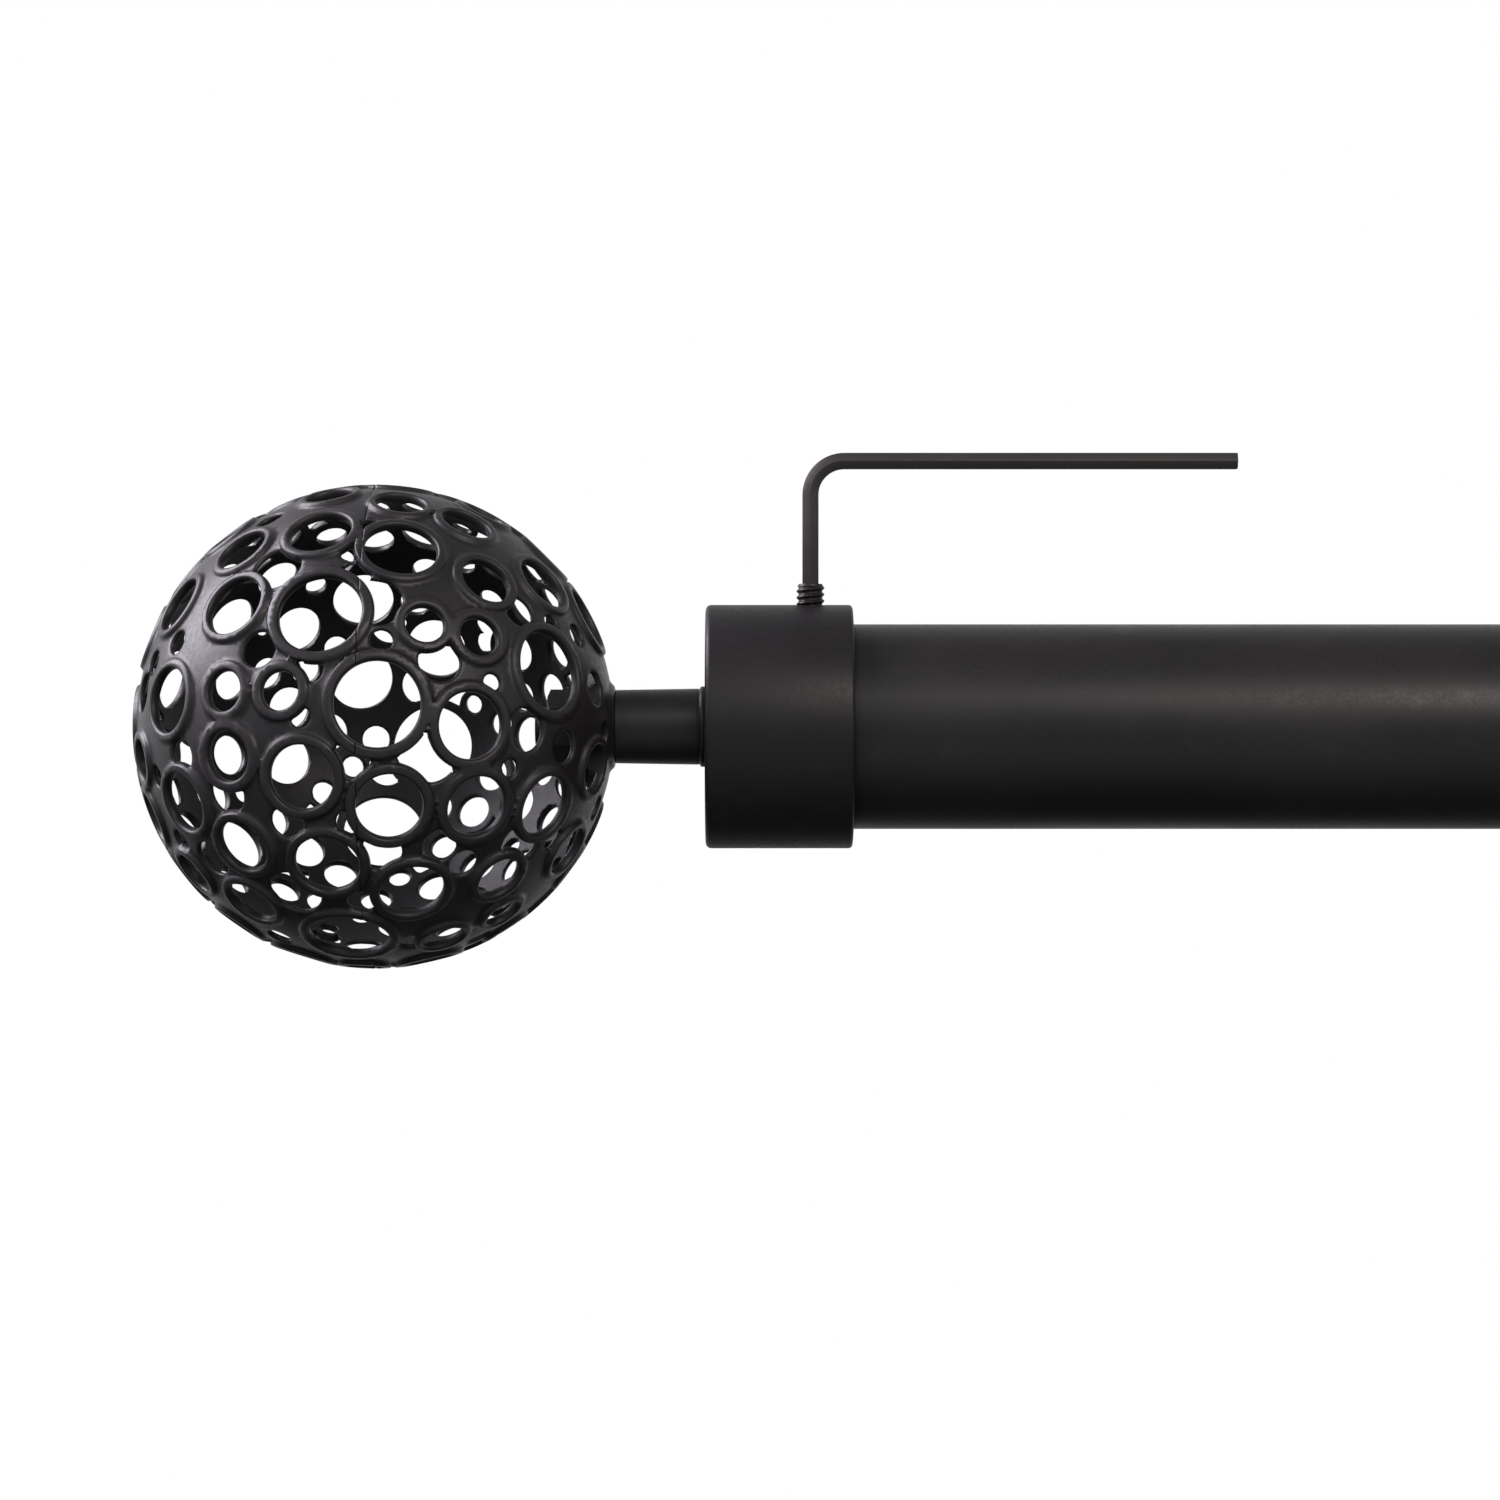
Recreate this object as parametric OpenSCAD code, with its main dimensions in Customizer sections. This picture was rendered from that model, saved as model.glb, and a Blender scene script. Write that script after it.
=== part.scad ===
// Telescoping curtain rod on two wall brackets, with an openwork ball finial at each end.
// Frame: the origin is the centre of the left wall plate's back face, on the wall.
// +X runs along the rod to the right, +Y points into the wall and +Z is up.

/* [Rod] */
// Outside diameter of the outer tube
rod_d = 25.4; // [20:0.1:32]
// Wall of the outer tube
rod_wall = 0.8; // [0.5:0.1:1.2]
// Length of the outer tube
rod_len = 406; // [335:1:700]
// Radial gap between the two tubes, which the mouth bush fills
tube_gap = 0.8; // [0.6:0.1:2]
// Wall of the inner tube
inner_wall = 0.7; // [0.5:0.1:1.2]
// Length of the inner tube
inner_len = 406; // [200:1:410]
// Visible length of the inner tube as the rod is set
extension = 60; // [10:1:200]
// Length of the bush's sleeve inside the outer tube
bush_len = 18; // [8:1:30]
// Thickness of the bush's flange on the tube's mouth
bush_flange = 1.5; // [1:0.1:3]
// Thickness of the guide plug on the inner tube's hidden end
plug_t = 3; // [2:0.5:4]

/* [End caps] */
// Wall of the cap round the outer tube
cap_wall = 2.3; // [1.8:0.1:4]
// Length of the cap
cap_len = 18.2; // [16:0.1:30]
// Thickness of the cap's closed end
cap_end = 3; // [2:0.5:5]
// Distance from the cap's open edge to its set screw
cap_screw_in = 5.2; // [4:0.1:8]

/* [Finials] */
// Radius of the ball
ball_r = 30; // [24:0.5:40]
// Thickness of the ball's shell
ball_t = 1.2; // [1:0.1:2]
// Radius of the solid pad where the neck meets the ball
pad_r = 8.5; // [8:0.5:9]
// Thickness of that pad
pad_t = 3.2; // [2.5:0.1:4]
// Diameter of the neck at the ball
neck_d = 9.1; // [8:0.1:12]
// Diameter of the neck at the cap
neck_foot_d = 9.5; // [8:0.1:14]
// Diameter of the thin bead at the neck's foot
bead_d = 10; // [9:0.1:15]
// Thickness of that bead
bead_t = 0.7; // [0.3:0.1:2]
// Length of the neck
neck_len = 11.2; // [6:0.1:20]
// Diameter of the stud that holds the finial
stud_d = 5; // [4:0.5:6]
// Depth that the stud reaches beyond the cap's closed end
stud_past = 2; // [0.5:0.5:3]
// Diameter of the washer inside the ball
washer_d = 15; // [12:0.5:16]
// Thickness of the washer
washer_t = 1.2; // [0.8:0.1:2]
// Width of the nut across its flats
nut_af = 8; // [7.5:0.5:10]
// Thickness of the nut
nut_t = 4; // [3:0.5:5]

/* [Screws and key] */
// Diameter of the set screws in the caps
set_d = 3.5; // [3.2:0.1:5]
// Pitch of their threads
set_pitch = 0.8; // [0.5:0.1:0.8]
// Length of the left set screw
set_len = 4.9; // [4:0.1:8]
// Diameter of the arm screws and thumb screws
screw_d = 4; // [3.5:0.1:5]
// Pitch of their threads
screw_pitch = 0.7; // [0.5:0.1:0.8]
// Depth of the thread grooves
thread_depth = 0.3; // [0.2:0.05:0.35]
// Length of the arm screws
arm_screw_len = 4; // [3.5:0.1:8]
// Width of the hexagon key across its flats
key_af = 2; // [1.5:0.1:2.2]
// Depth of the hexagon socket in a screw
socket_depth = 2.4; // [1.5:0.1:2.6]
// Depth that the key sits in its socket
key_in = 2; // [1:0.1:2.2]
// Overall length of the key's short leg
key_short = 18.1; // [14:0.1:30]
// Overall length of the key's long leg
key_long = 54; // [30:1:90]
// Radius of the key's bend along its middle
key_bend = 4.2; // [3:0.1:6]

/* [Brackets] */
// Distance from the wall to the middle of the rod
standoff = 90; // [70:1:110]
// Distance from the left bracket to the closed end of the left cap
left_reach = 133; // [60:1:160]
// Distance from the outer tube's mouth back to the right bracket
right_inset = 56.3; // [20:0.1:120]
// Width of a wall plate
plate_w = 28; // [22:1:40]
// Height of a wall plate
plate_h = 64; // [56:1:100]
// Thickness of a wall plate
plate_t = 4; // [3:0.5:6]
// Corner radius of a wall plate
plate_r = 6; // [2:0.5:10]
// Distance between the two wall screw holes
hole_span = 44; // [34:1:50]
// Diameter of a wall screw hole
hole_d = 5; // [3.5:0.1:6]
// Diameter of the arm
arm_d = 10; // [8:0.5:12]
// Outside diameter of the arm's socket
socket_d = 16; // [14:0.5:20]
// Length of the arm's socket
socket_len = 36; // [30:1:45]
// Diameter of the collar at the foot of the socket
collar_d = 21; // [17:0.5:22]
// Thickness of that collar
collar_t = 2.5; // [1:0.5:4]
// Distance from the wall to the arm's hidden end
arm_from_wall = 14; // [12:1:20]
// Distance from the wall to the arm screw
arm_screw_y = 31; // [24:1:36]
// Width of a cradle along the rod
cradle_w = 14; // [9:1:30]
// Thickness of a cradle's strap
cradle_t = 3; // [2:0.5:5]
// Height of a cradle's back wall over the rod's middle
back_rise = 14; // [8:0.5:20]
// Height of a cradle's front lip over the rod's middle
front_rise = 7; // [5:0.5:12]
// Diameter of the nut boss on a cradle's front
boss_d = 9; // [7:0.5:9]
// Thickness of the nut boss
boss_t = 3; // [2:0.5:5]
// Diameter of the thumb screw's knob
knob_d = 11; // [8:0.5:16]
// Thickness of the knob
knob_t = 6; // [4:0.5:10]
// Gap left between the boss and the knob
knob_gap = 3; // [1:0.5:5]

/* [Clearances] */
// Radial clearance of tubes, caps and arms that slide
slip = 0.1; // [0.05:0.01:0.1]
// Radial clearance of a screw in its hole
screw_slip = 0.05; // [0.02:0.01:0.1]
// Clearance between faces that must not touch
face_gap = 0.3; // [0.2:0.05:0.5]
// Gap between a screw's tip and what it presses on
tip_gap = 0.1; // [0.05:0.05:0.2]

/* [Hidden] */
$fn = 64;

// Rod: radii and places along X
rod_r = rod_d / 2;
rod_bore_r = rod_r - rod_wall;
inner_r = rod_bore_r - tube_gap;
inner_bore_r = inner_r - inner_wall;
left_face_x = -left_reach;
rod_start_x = left_face_x + cap_end + face_gap;
rod_mouth_x = rod_start_x + rod_len;
right_bracket_x = rod_mouth_x - right_inset;
right_face_x = rod_mouth_x + extension + cap_len;
inner_end_x = right_face_x - cap_end - face_gap;
inner_start_x = inner_end_x - inner_len;

// End caps: the outside is the same on both ends
cap_r = rod_r + slip + cap_wall;
cap_screw_x = cap_len - cap_screw_in;

// Finial: distances along the end's own axis, from the cap's closed face
ball_flat = ball_r - 0.35;
ball_x = -(neck_len + ball_flat);
pad_face = ball_flat - pad_t;
stud_r = stud_d / 2;
stud_hole_r = stud_r + slip;
stud_tail = 1.5;
nut_r = nut_af / 2 / cos(30);

// Screws and key
screw_r = screw_d / 2;
screw_hole_r = screw_r + screw_slip;
set_r = set_d / 2;
set_hole_r = set_r + screw_slip;
socket_af = key_af + 0.1;

// Brackets
socket_bore_r = arm_d / 2 + slip;
cradle_r = rod_r + face_gap;
cradle_back = cradle_r + cradle_t;

// Round holes on the ball's near face: turn from straight ahead towards the neck, lift above
// the middle, and radius.
NEAR_HOLES = [
  [-10, 27, 5.2], [-36, 29, 3.9], [-17, 52, 3.9], [13, 46, 4.5], [19, 66, 3.1],
  [-47, 46, 3.3], [-33, 8, 2.5], [-18, 8, 2.4], [-53, 6, 4], [-32, -7, 3.1],
  [-13, -12, 4], [5, 5, 5.3], [17, 24, 2.4], [31, 21, 2.5], [38, 36, 3.2],
  [51, 13, 5], [27, 0, 4.1], [8, -19, 4.1], [30, -19, 3.8], [51, -19, 3.8],
  [-33, -29, 3.4], [-9, -34, 4], [-50, -18, 3.7], [16, -42, 4], [44, -38, 2.9],
  [-42, -46, 3.3], [-8, -60, 5], [38, -60, 2.6], [58, -50, 2.3], [71, -31, 3.2],
  [-64, 30, 3.6], [-34, 72, 3], [46, 56, 3.2], [62, 36, 3.6], [70, -10, 3],
  [-71, -8, 2.6], [-64, -37, 2.8], [-76, 52, 3], [-84, 22, 3.2], [76, 62, 2.8],
  [70, -76, 3.4], [-20, -83, 2.4], [-72, -72, 3.4], [-76, -55, 2.8], [84, 27, 4],
  [89, 45, 3], [-88, -38, 3.4], [-76, -22, 3.2]
];
// Smaller openings between the rings that stand round those holes
NEAR_GAPS = [
  [-27, 39, 1.7], [7, 31, 1.9], [-1, 38, 1.2], [-4, 45, 0.7], [20, 15, 1.7],
  [-25, 18, 1.4], [-13, 2, 0.7], [6, 20, 0.7], [-1, -8, 1.4], [17, -7, 2.4],
  [41, -1, 1.7], [45, 27, 1.2], [-32, -17, 1.6], [-49, -7, 1.2], [-17, -23, 1.2],
  [-2, -23, 0.9], [-2, -30, 0.7], [7, -31, 1.4], [22, -29, 1.3], [-48, -33, 1.2],
  [-23, -43, 1.9], [0, -45, 0.9], [31, -33, 1], [46, -29, 1.3], [24, -63, 0.7],
  [56, -5, 1], [-55, 20, 0.9], [-72, 8, 1.6], [71, 9, 1.3], [-67, 15, 1],
  [70, -62, 1], [-54, 59, 1], [-50, -61, 1], [82, -20, 1], [68, 22, 0.9]
];
// Openings of the far face, turned and lifted in the same way
FAR_HOLES = [
  [189, 13, 4.2], [170, -5, 5.4], [183, -28, 5.2], [208, 26, 3.2], [189, 35, 4], [231, 27, 3.8],
  [230, -31, 3.6], [226, -7, 2.6], [209, -8, 3.4], [157, -22, 2.2], [133, 9, 2.4], [168, 21, 4],
  [206, 57, 2], [207, -33, 2.6], [250, 12, 3.8], [197, -41, 2.2], [220, 41, 2.8], [163, -45, 2.4],
  [142, -2, 2.4], [226, 12, 2.6], [208, 5, 2.8], [220, -46, 2], [185, -3, 1.8], [186, 56, 2.6],
  [147, 34, 1.8], [166, 44, 2.2], [144, 20, 2.8], [199, -17, 1.6], [191, -10, 1.4],
  [177, -42, 1.4], [137, 60, 1.4], [211, -62, 1.2], [113, -8, 2.2], [143, -20, 2.6],
  [119, 33, 2.2], [205, 39, 1.4], [127, 19, 2], [128, -6, 1.6], [153, -12, 2.2], [159, 6, 1.2],
  [142, -62, 2], [192, -57, 1.2], [223, -17, 1.2], [164, -32, 1.8], [151, 1, 1.6], [250, -36, 1.2],
  [185, -50, 2], [129, -24, 2], [241, -42, 2.2], [140, -32, 1.2], [100, -47, 3.3], [248, 69, 3.7],
  [123, 84, 3.6], [260, -20, 2.7], [246, -61, 2.9], [102, -27, 3.7], [128, -47, 2.4],
  [266, 39, 3.6], [156, -78, 3.6], [110, -63, 3.1], [112, 52, 2.9], [136, 46, 2.8], [252, -6, 2.8],
  [104, 29, 3.1], [110, 68, 3.2], [119, 5, 3.2], [198, 71, 3.9], [170, -60, 3.6], [160, 58, 3.3],
  [246, 38, 3.7], [231, 55, 2.7], [237, 2, 2.6], [257, -49, 3.3], [234, -74, 2.5], [123, -35, 2.5],
  [133, 32, 3.2], [117, -20, 3.1], [110, 16, 3.1], [146, -51, 3.1], [234, -17, 3], [261, 55, 2.9],
  [262, 22, 2.8], [89, -36, 2.4], [205, -51, 2.7], [160, 34, 2.7], [147, 71, 2.7], [249, -27, 2.7],
  [197, -1, 2.4], [216, -24, 2.6], [275, 81, 2.6], [271, -15, 2.5], [225, -56, 2.5],
  [150, -38, 2.4], [154, 13, 2.4], [200, 47, 2.4], [220, 2, 2.3], [88, -57, 2.3], [106, 41, 2.3],
  [246, 25, 2.2], [215, 14, 2.1], [271, -26, 2.1], [237, 15, 2], [168, -21, 2], [136, -11, 2],
  [152, 47, 2], [144, 8, 1.9], [204, 15, 1.9], [94, 56, 1.9], [173, 34, 1.9], [110, -38, 1.8],
  [259, -33, 1.8]
];
// The hole in the ball's outer pole
POLE_HOLE = [-90, 0, 4.2];
// The pattern is drawn for a ball of this radius and grows with the ball
pattern_r = 30;

function pattern(mm) = mm * ball_r / pattern_r;
// Distance of an opening's middle from the ball's middle plane, towards the neck
function towards_neck(p) = ball_r * sin(p[0]) * cos(p[1]);
// Those of a list that reach the half on the given side: 1 is the neck's, -1 the outer
function reaching(list, side) =
  [for (p = list) if (side * towards_neck(p) > -pattern(p[2]) - 2) p];
OPENINGS = concat(NEAR_HOLES, NEAR_GAPS, FAR_HOLES, [POLE_HOLE]);

// ---------- Shared shapes ----------

// Turns a Z axis to a place on the ball
module aim(p) {
  rotate([90 - p[1], 0, p[0]]) children();
}

// Lays a flat profile drawn in (Y, Z) across the rod and gives it a width along X
module across_rod(width) {
  rotate([90, 0, 90])
    linear_extrude(width, center = true) children();
}

// A bar along +X from x0 to x1
module bar_x(r, x0, x1) {
  translate([x0, 0, 0])
    rotate([0, 90, 0]) cylinder(r = r, h = x1 - x0);
}

// A bar along -Y, from y0 to y1 away from the wall
module bar_out(r, y0, y1) {
  translate([0, -y0, 0])
    rotate([90, 0, 0]) cylinder(r = r, h = y1 - y0);
}

module tube_x(r_out, r_in, x0, x1) {
  difference() {
    bar_x(r_out, x0, x1);
    bar_x(r_in, x0 - 1, x1 + 1);
  }
}

module hexagon(af) {
  rotate(30) circle(r = af / 2 / cos(30), $fn = 6);
}

// A threaded bar along +Z: rings of the thread's section, one for each turn
module threaded_bar(r, pitch, len) {
  root = r - thread_depth;
  turns = floor((len - 0.4) / pitch);
  start = (len - turns * pitch) / 2;
  rotate_extrude()
    polygon(concat(
      [[0, 0], [root, 0]],
      [for (i = [0:turns - 1], k = [0, 1]) [root + k * thread_depth, start + (i + k / 2) * pitch]],
      [[root, start + turns * pitch], [root, len], [0, len]]
    ));
}

// A headless screw along +Z with its hexagon socket at the top
module grub_screw(r, pitch, len) {
  difference() {
    threaded_bar(r, pitch, len);
    translate([0, 0, len - socket_depth])
      linear_extrude(socket_depth + 1) hexagon(socket_af);
  }
}

module rounded_plate(w, h, r) {
  square([w - 2 * r, h], center = true);
  square([w, h - 2 * r], center = true);
  for (sx = [-1, 1], sy = [-1, 1])
    translate([sx * (w / 2 - r), sy * (h / 2 - r)]) circle(r = r);
}

// Places an end's own frame: x = 0 at the cap's closed face and +x into the rod.
// The right end is the left one turned half round about the vertical.
module at_end(side) {
  x = side < 0 ? left_face_x : right_face_x;
  translate([x, -standoff, 0])
    rotate([0, 0, side < 0 ? 0 : 180]) children();
}

module at_bracket(side) {
  translate([side < 0 ? 0 : right_bracket_x, 0, 0]) children();
}

// ---------- Rod ----------

module outer_tube() {
  color([0.13, 0.12, 0.12])
    translate([0, -standoff, 0])
      tube_x(rod_r, rod_bore_r, rod_start_x, rod_mouth_x);
}

module inner_tube() {
  color([0.15, 0.14, 0.14])
    translate([0, -standoff, 0])
      tube_x(inner_r, inner_bore_r, inner_start_x, inner_end_x);
}

// Plastic bush that guides the inner tube in the outer tube's mouth
module mouth_bush() {
  color([0.08, 0.08, 0.08])
    translate([0, -standoff, 0])
      difference() {
        union() {
          bar_x(rod_r, rod_mouth_x, rod_mouth_x + bush_flange);
          bar_x(rod_bore_r - screw_slip, rod_mouth_x - bush_len, rod_mouth_x);
        }
        bar_x(inner_r + slip, rod_mouth_x - bush_len - 1, rod_mouth_x + bush_flange + 1);
      }
}

// Plastic plug that centres the inner tube's hidden end in the outer tube
module inner_tube_plug() {
  color([0.08, 0.08, 0.08])
    translate([0, -standoff, 0]) {
      bar_x(rod_bore_r - slip, inner_start_x - plug_t, inner_start_x);
      bar_x(inner_bore_r - screw_slip, inner_start_x, inner_start_x + 2 * plug_t);
    }
}

// ---------- End caps and set screws ----------

module end_cap(side) {
  tube_r = side < 0 ? rod_r : inner_r;
  color([0.15, 0.14, 0.15])
    at_end(side)
      difference() {
        bar_x(cap_r, 0, cap_len);
        bar_x(tube_r + slip, cap_end, cap_len + 1);
        bar_x(stud_hole_r, -1, cap_end + 1);
        translate([cap_screw_x, 0, 0])
          cylinder(r = set_hole_r, h = cap_r + 1);
      }
}

module set_screw(side) {
  tube_r = side < 0 ? rod_r : inner_r;
  len = side < 0 ? set_len : set_len + rod_r - inner_r;
  color([0.2, 0.19, 0.2])
    at_end(side)
      translate([cap_screw_x, 0, tube_r + tip_gap]) grub_screw(set_r, set_pitch, len);
}

// L-shaped hexagon key, standing in the left set screw
module hex_key() {
  foot_z = rod_r + tip_gap + set_len - key_in;
  arm_z = foot_z + key_short - key_af / 2;
  color([0.3, 0.28, 0.28])
    at_end(-1)
      translate([cap_screw_x, 0, 0]) {
        translate([0, 0, foot_z])
          linear_extrude(arm_z - key_bend - foot_z) hexagon(key_af);
        translate([key_bend, 0, arm_z - key_bend])
          rotate([90, 0, 180])
            rotate_extrude(angle = 90) translate([key_bend, 0]) hexagon(key_af);
        translate([key_bend, 0, arm_z])
          rotate([0, 90, 0])
            linear_extrude(key_long - key_af / 2 - key_bend) rotate(90) hexagon(key_af);
      }
}

// ---------- Finials ----------

// Solid ball of the given radius with its poles on the rod's axis, cut flat at the neck
module flat_ball(r, flat) {
  intersection() {
    rotate([0, 90, 0]) sphere(r = r);
    translate([-r - 1, -r - 1, -r - 1]) cube([r + 1 + flat, 2 * r + 2, 2 * r + 2]);
  }
}

// The half space on one side of the ball's middle plane: 1 is the neck's, -1 the outer
module half_space(side) {
  s = 2 * ball_r;
  translate([side > 0 ? 0 : -s, -s, -s]) cube([s, 2 * s, 2 * s]);
}

module ball_half(half) {
  low = ball_r - 4 * ball_t;
  difference() {
    intersection() {
      flat_ball(ball_r, ball_flat);
      half_space(half);
    }
    difference() {
      rotate([0, 90, 0]) sphere(r = ball_r - ball_t);
      bar_x(pad_r, pad_face, ball_r + 1);
    }
    for (p = reaching(OPENINGS, half))
      aim(p)
        translate([0, 0, low]) cylinder(r = pattern(p[2]), h = 8 * ball_t);
    bar_x(stud_hole_r, 0, ball_r + 1);
  }
}

module finial_half(side, half) {
  color([0.11, 0.11, 0.12])
    at_end(side)
      translate([ball_x, 0, 0]) ball_half(half);
}

// Neck that widens a little towards the cap and ends there in a thin bead
module neck(side) {
  color([0.13, 0.12, 0.13])
    at_end(side)
      difference() {
        union() {
          translate([-neck_len, 0, 0])
            rotate([0, 90, 0]) cylinder(r1 = neck_d / 2, r2 = neck_foot_d / 2, h = neck_len);
          bar_x(bead_d / 2, -bead_t, 0);
        }
        bar_x(stud_hole_r, -neck_len - 1, 1);
      }
}

// Stud through the cap's end, the neck and the ball's pad
module finial_stud(side) {
  color([0.12, 0.12, 0.12])
    at_end(side)
      bar_x(stud_r, ball_x + pad_face - washer_t - nut_t - stud_tail, cap_end + stud_past);
}

module washer(side) {
  color([0.12, 0.12, 0.12])
    at_end(side)
      translate([ball_x, 0, 0])
        tube_x(washer_d / 2, stud_hole_r, pad_face - washer_t, pad_face);
}

module nut(side) {
  color([0.12, 0.12, 0.12])
    at_end(side)
      translate([ball_x + pad_face - washer_t - nut_t, 0, 0])
        rotate([0, 90, 0])
          difference() {
            cylinder(r = nut_r, h = nut_t, $fn = 6);
            translate([0, 0, -1]) cylinder(r = stud_r + screw_slip, h = nut_t + 2);
          }
}

// ---------- Brackets ----------

module wall_plate(side) {
  color([0.12, 0.12, 0.12])
    at_bracket(side)
      difference() {
        rotate([90, 0, 0])
          linear_extrude(plate_t) rounded_plate(plate_w, plate_h, plate_r);
        for (s = [-1, 1])
          translate([0, 0, s * hole_span / 2]) {
            bar_out(hole_d / 2, -1, plate_t + 1);
            translate([0, -plate_t, 0])
              rotate([-90, 0, 0])
                cylinder(r1 = hole_d / 2 + plate_t / 2, r2 = hole_d / 2, h = plate_t / 2);
          }
      }
}

module arm_socket(side) {
  color([0.12, 0.12, 0.12])
    at_bracket(side)
      difference() {
        union() {
          bar_out(socket_d / 2, plate_t, plate_t + socket_len);
          bar_out(collar_d / 2, plate_t, plate_t + collar_t);
        }
        bar_out(socket_bore_r, plate_t - 1, plate_t + socket_len + 1);
        translate([0, -arm_screw_y, -socket_d])
          cylinder(r = screw_hole_r, h = socket_d);
      }
}

// Outside of the cradle as it meets the arm: round below the rod's middle, straight above
module cradle_outline() {
  intersection() {
    circle(r = cradle_back);
    translate([-2 * rod_d, -2 * rod_d]) square([4 * rod_d, 2 * rod_d]);
  }
  translate([-cradle_back, 0]) square([2 * cradle_back, rod_d]);
}

module arm(side) {
  color([0.12, 0.12, 0.12])
    at_bracket(side)
      difference() {
        bar_out(arm_d / 2, arm_from_wall, standoff - rod_r);
        translate([0, -standoff, 0]) across_rod(2 * arm_d) cradle_outline();
      }
}

// One wall of the cradle above the rod's middle, with a round top
module cradle_wall(rise) {
  square([cradle_t, rise - cradle_t / 2]);
  translate([cradle_t / 2, rise - cradle_t / 2]) circle(r = cradle_t / 2);
}

module cradle(side) {
  color([0.12, 0.12, 0.12])
    at_bracket(side)
      translate([0, -standoff, 0])
        difference() {
          union() {
            across_rod(cradle_w) {
              difference() {
                circle(r = cradle_back);
                circle(r = cradle_r);
                translate([-2 * rod_d, 0]) square([4 * rod_d, 2 * rod_d]);
              }
              translate([cradle_r, 0]) cradle_wall(back_rise);
              translate([-cradle_back, 0]) cradle_wall(front_rise);
            }
            bar_out(boss_d / 2, cradle_r + cradle_t / 2, cradle_back + boss_t);
          }
          bar_x(cradle_r, -cradle_w, cradle_w);
          bar_out(screw_hole_r, cradle_r - 1, cradle_back + boss_t + 1);
        }
}

// Thumb screw with a grooved knob, pointing at the wall
module thumb_screw(side) {
  tip = rod_r + face_gap;
  knob = cradle_back + boss_t + knob_gap;
  grooves = 18;
  color([0.14, 0.13, 0.13])
    at_bracket(side)
      translate([0, -standoff, 0]) {
        translate([0, -tip, 0])
          rotate([90, 0, 0]) threaded_bar(screw_r, screw_pitch, knob - tip);
        difference() {
          bar_out(knob_d / 2, knob, knob + knob_t);
          for (i = [0:grooves - 1])
            rotate([0, i * 360 / grooves, 0])
              translate([knob_d / 2 + 0.3, 0, 0]) bar_out(0.8, knob - 1, knob + knob_t + 1);
        }
      }
}

// Headless screw up from the underside of the socket
module arm_screw(side) {
  color([0.2, 0.19, 0.2])
    at_bracket(side)
      translate([0, -arm_screw_y, -arm_d / 2 - tip_gap])
        rotate([180, 0, 0]) grub_screw(screw_r, screw_pitch, arm_screw_len);
}

// ---------- Nodes ----------

outer_tube();
inner_tube();
mouth_bush();
inner_tube_plug();
hex_key();

finial_half(-1, -1);  // left_ball_outer_half
finial_half(-1, 1);  // left_ball_neck_half
neck(-1);  // left_neck
finial_stud(-1);  // left_finial_stud
washer(-1);  // left_washer
nut(-1);  // left_nut
end_cap(-1);  // left_end_cap
set_screw(-1);  // left_set_screw

finial_half(1, -1);  // right_ball_outer_half
finial_half(1, 1);  // right_ball_neck_half
neck(1);  // right_neck
finial_stud(1);  // right_finial_stud
washer(1);  // right_washer
nut(1);  // right_nut
end_cap(1);  // right_end_cap
set_screw(1);  // right_set_screw

wall_plate(-1);  // left_wall_plate
arm_socket(-1);  // left_arm_socket
arm(-1);  // left_arm
cradle(-1);  // left_cradle
thumb_screw(-1);  // left_thumb_screw
arm_screw(-1);  // left_arm_screw

wall_plate(1);  // right_wall_plate
arm_socket(1);  // right_arm_socket
arm(1);  // right_arm
cradle(1);  // right_cradle
thumb_screw(1);  // right_thumb_screw
arm_screw(1);  // right_arm_screw
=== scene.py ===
# %% [markdown]
# # A telescoping curtain rod with an openwork ball finial
# The object is a black steel rod on two wall brackets. One end shows the most: a ball made of
# raised rings, a short neck, an end cap, and a set screw with a hexagon key standing in it.
# The CAD frame is loaded first. It says where every part is, so each piece that is modelled
# here takes its place and size from the frame and never from a guess.

# %% The frame and its box
import math

import bmesh
import bpy
import numpy as np
from mathutils import Matrix, Vector


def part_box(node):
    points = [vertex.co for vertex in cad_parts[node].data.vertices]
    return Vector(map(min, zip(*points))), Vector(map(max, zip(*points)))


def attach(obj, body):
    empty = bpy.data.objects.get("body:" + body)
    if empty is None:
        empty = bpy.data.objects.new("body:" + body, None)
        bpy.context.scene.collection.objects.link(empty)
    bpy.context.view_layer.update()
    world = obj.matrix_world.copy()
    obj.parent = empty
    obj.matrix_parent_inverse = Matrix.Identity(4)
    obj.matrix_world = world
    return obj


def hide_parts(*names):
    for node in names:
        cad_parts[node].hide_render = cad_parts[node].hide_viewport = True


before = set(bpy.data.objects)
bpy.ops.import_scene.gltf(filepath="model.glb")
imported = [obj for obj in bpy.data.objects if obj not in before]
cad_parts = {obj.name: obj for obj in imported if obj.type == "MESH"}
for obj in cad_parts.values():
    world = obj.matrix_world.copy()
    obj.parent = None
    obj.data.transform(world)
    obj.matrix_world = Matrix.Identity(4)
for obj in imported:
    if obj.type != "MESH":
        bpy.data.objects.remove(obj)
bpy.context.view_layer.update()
MM = 0.001


# %% [markdown]
# Every later step asks the frame the same few questions: where a node's box begins and ends,
# where its middle is, and how thick it is. These helpers answer in metres.

# %% Questions for the frame
def span(node, axis):
    """Lowest and highest coordinate of a CAD node along axis 0, 1 or 2."""
    low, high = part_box(node)
    return low[axis], high[axis]


def middle(node):
    low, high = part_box(node)
    return (low + high) / 2


def radius(node, axis=2):
    low, high = span(node, axis)
    return (high - low) / 2


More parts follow.
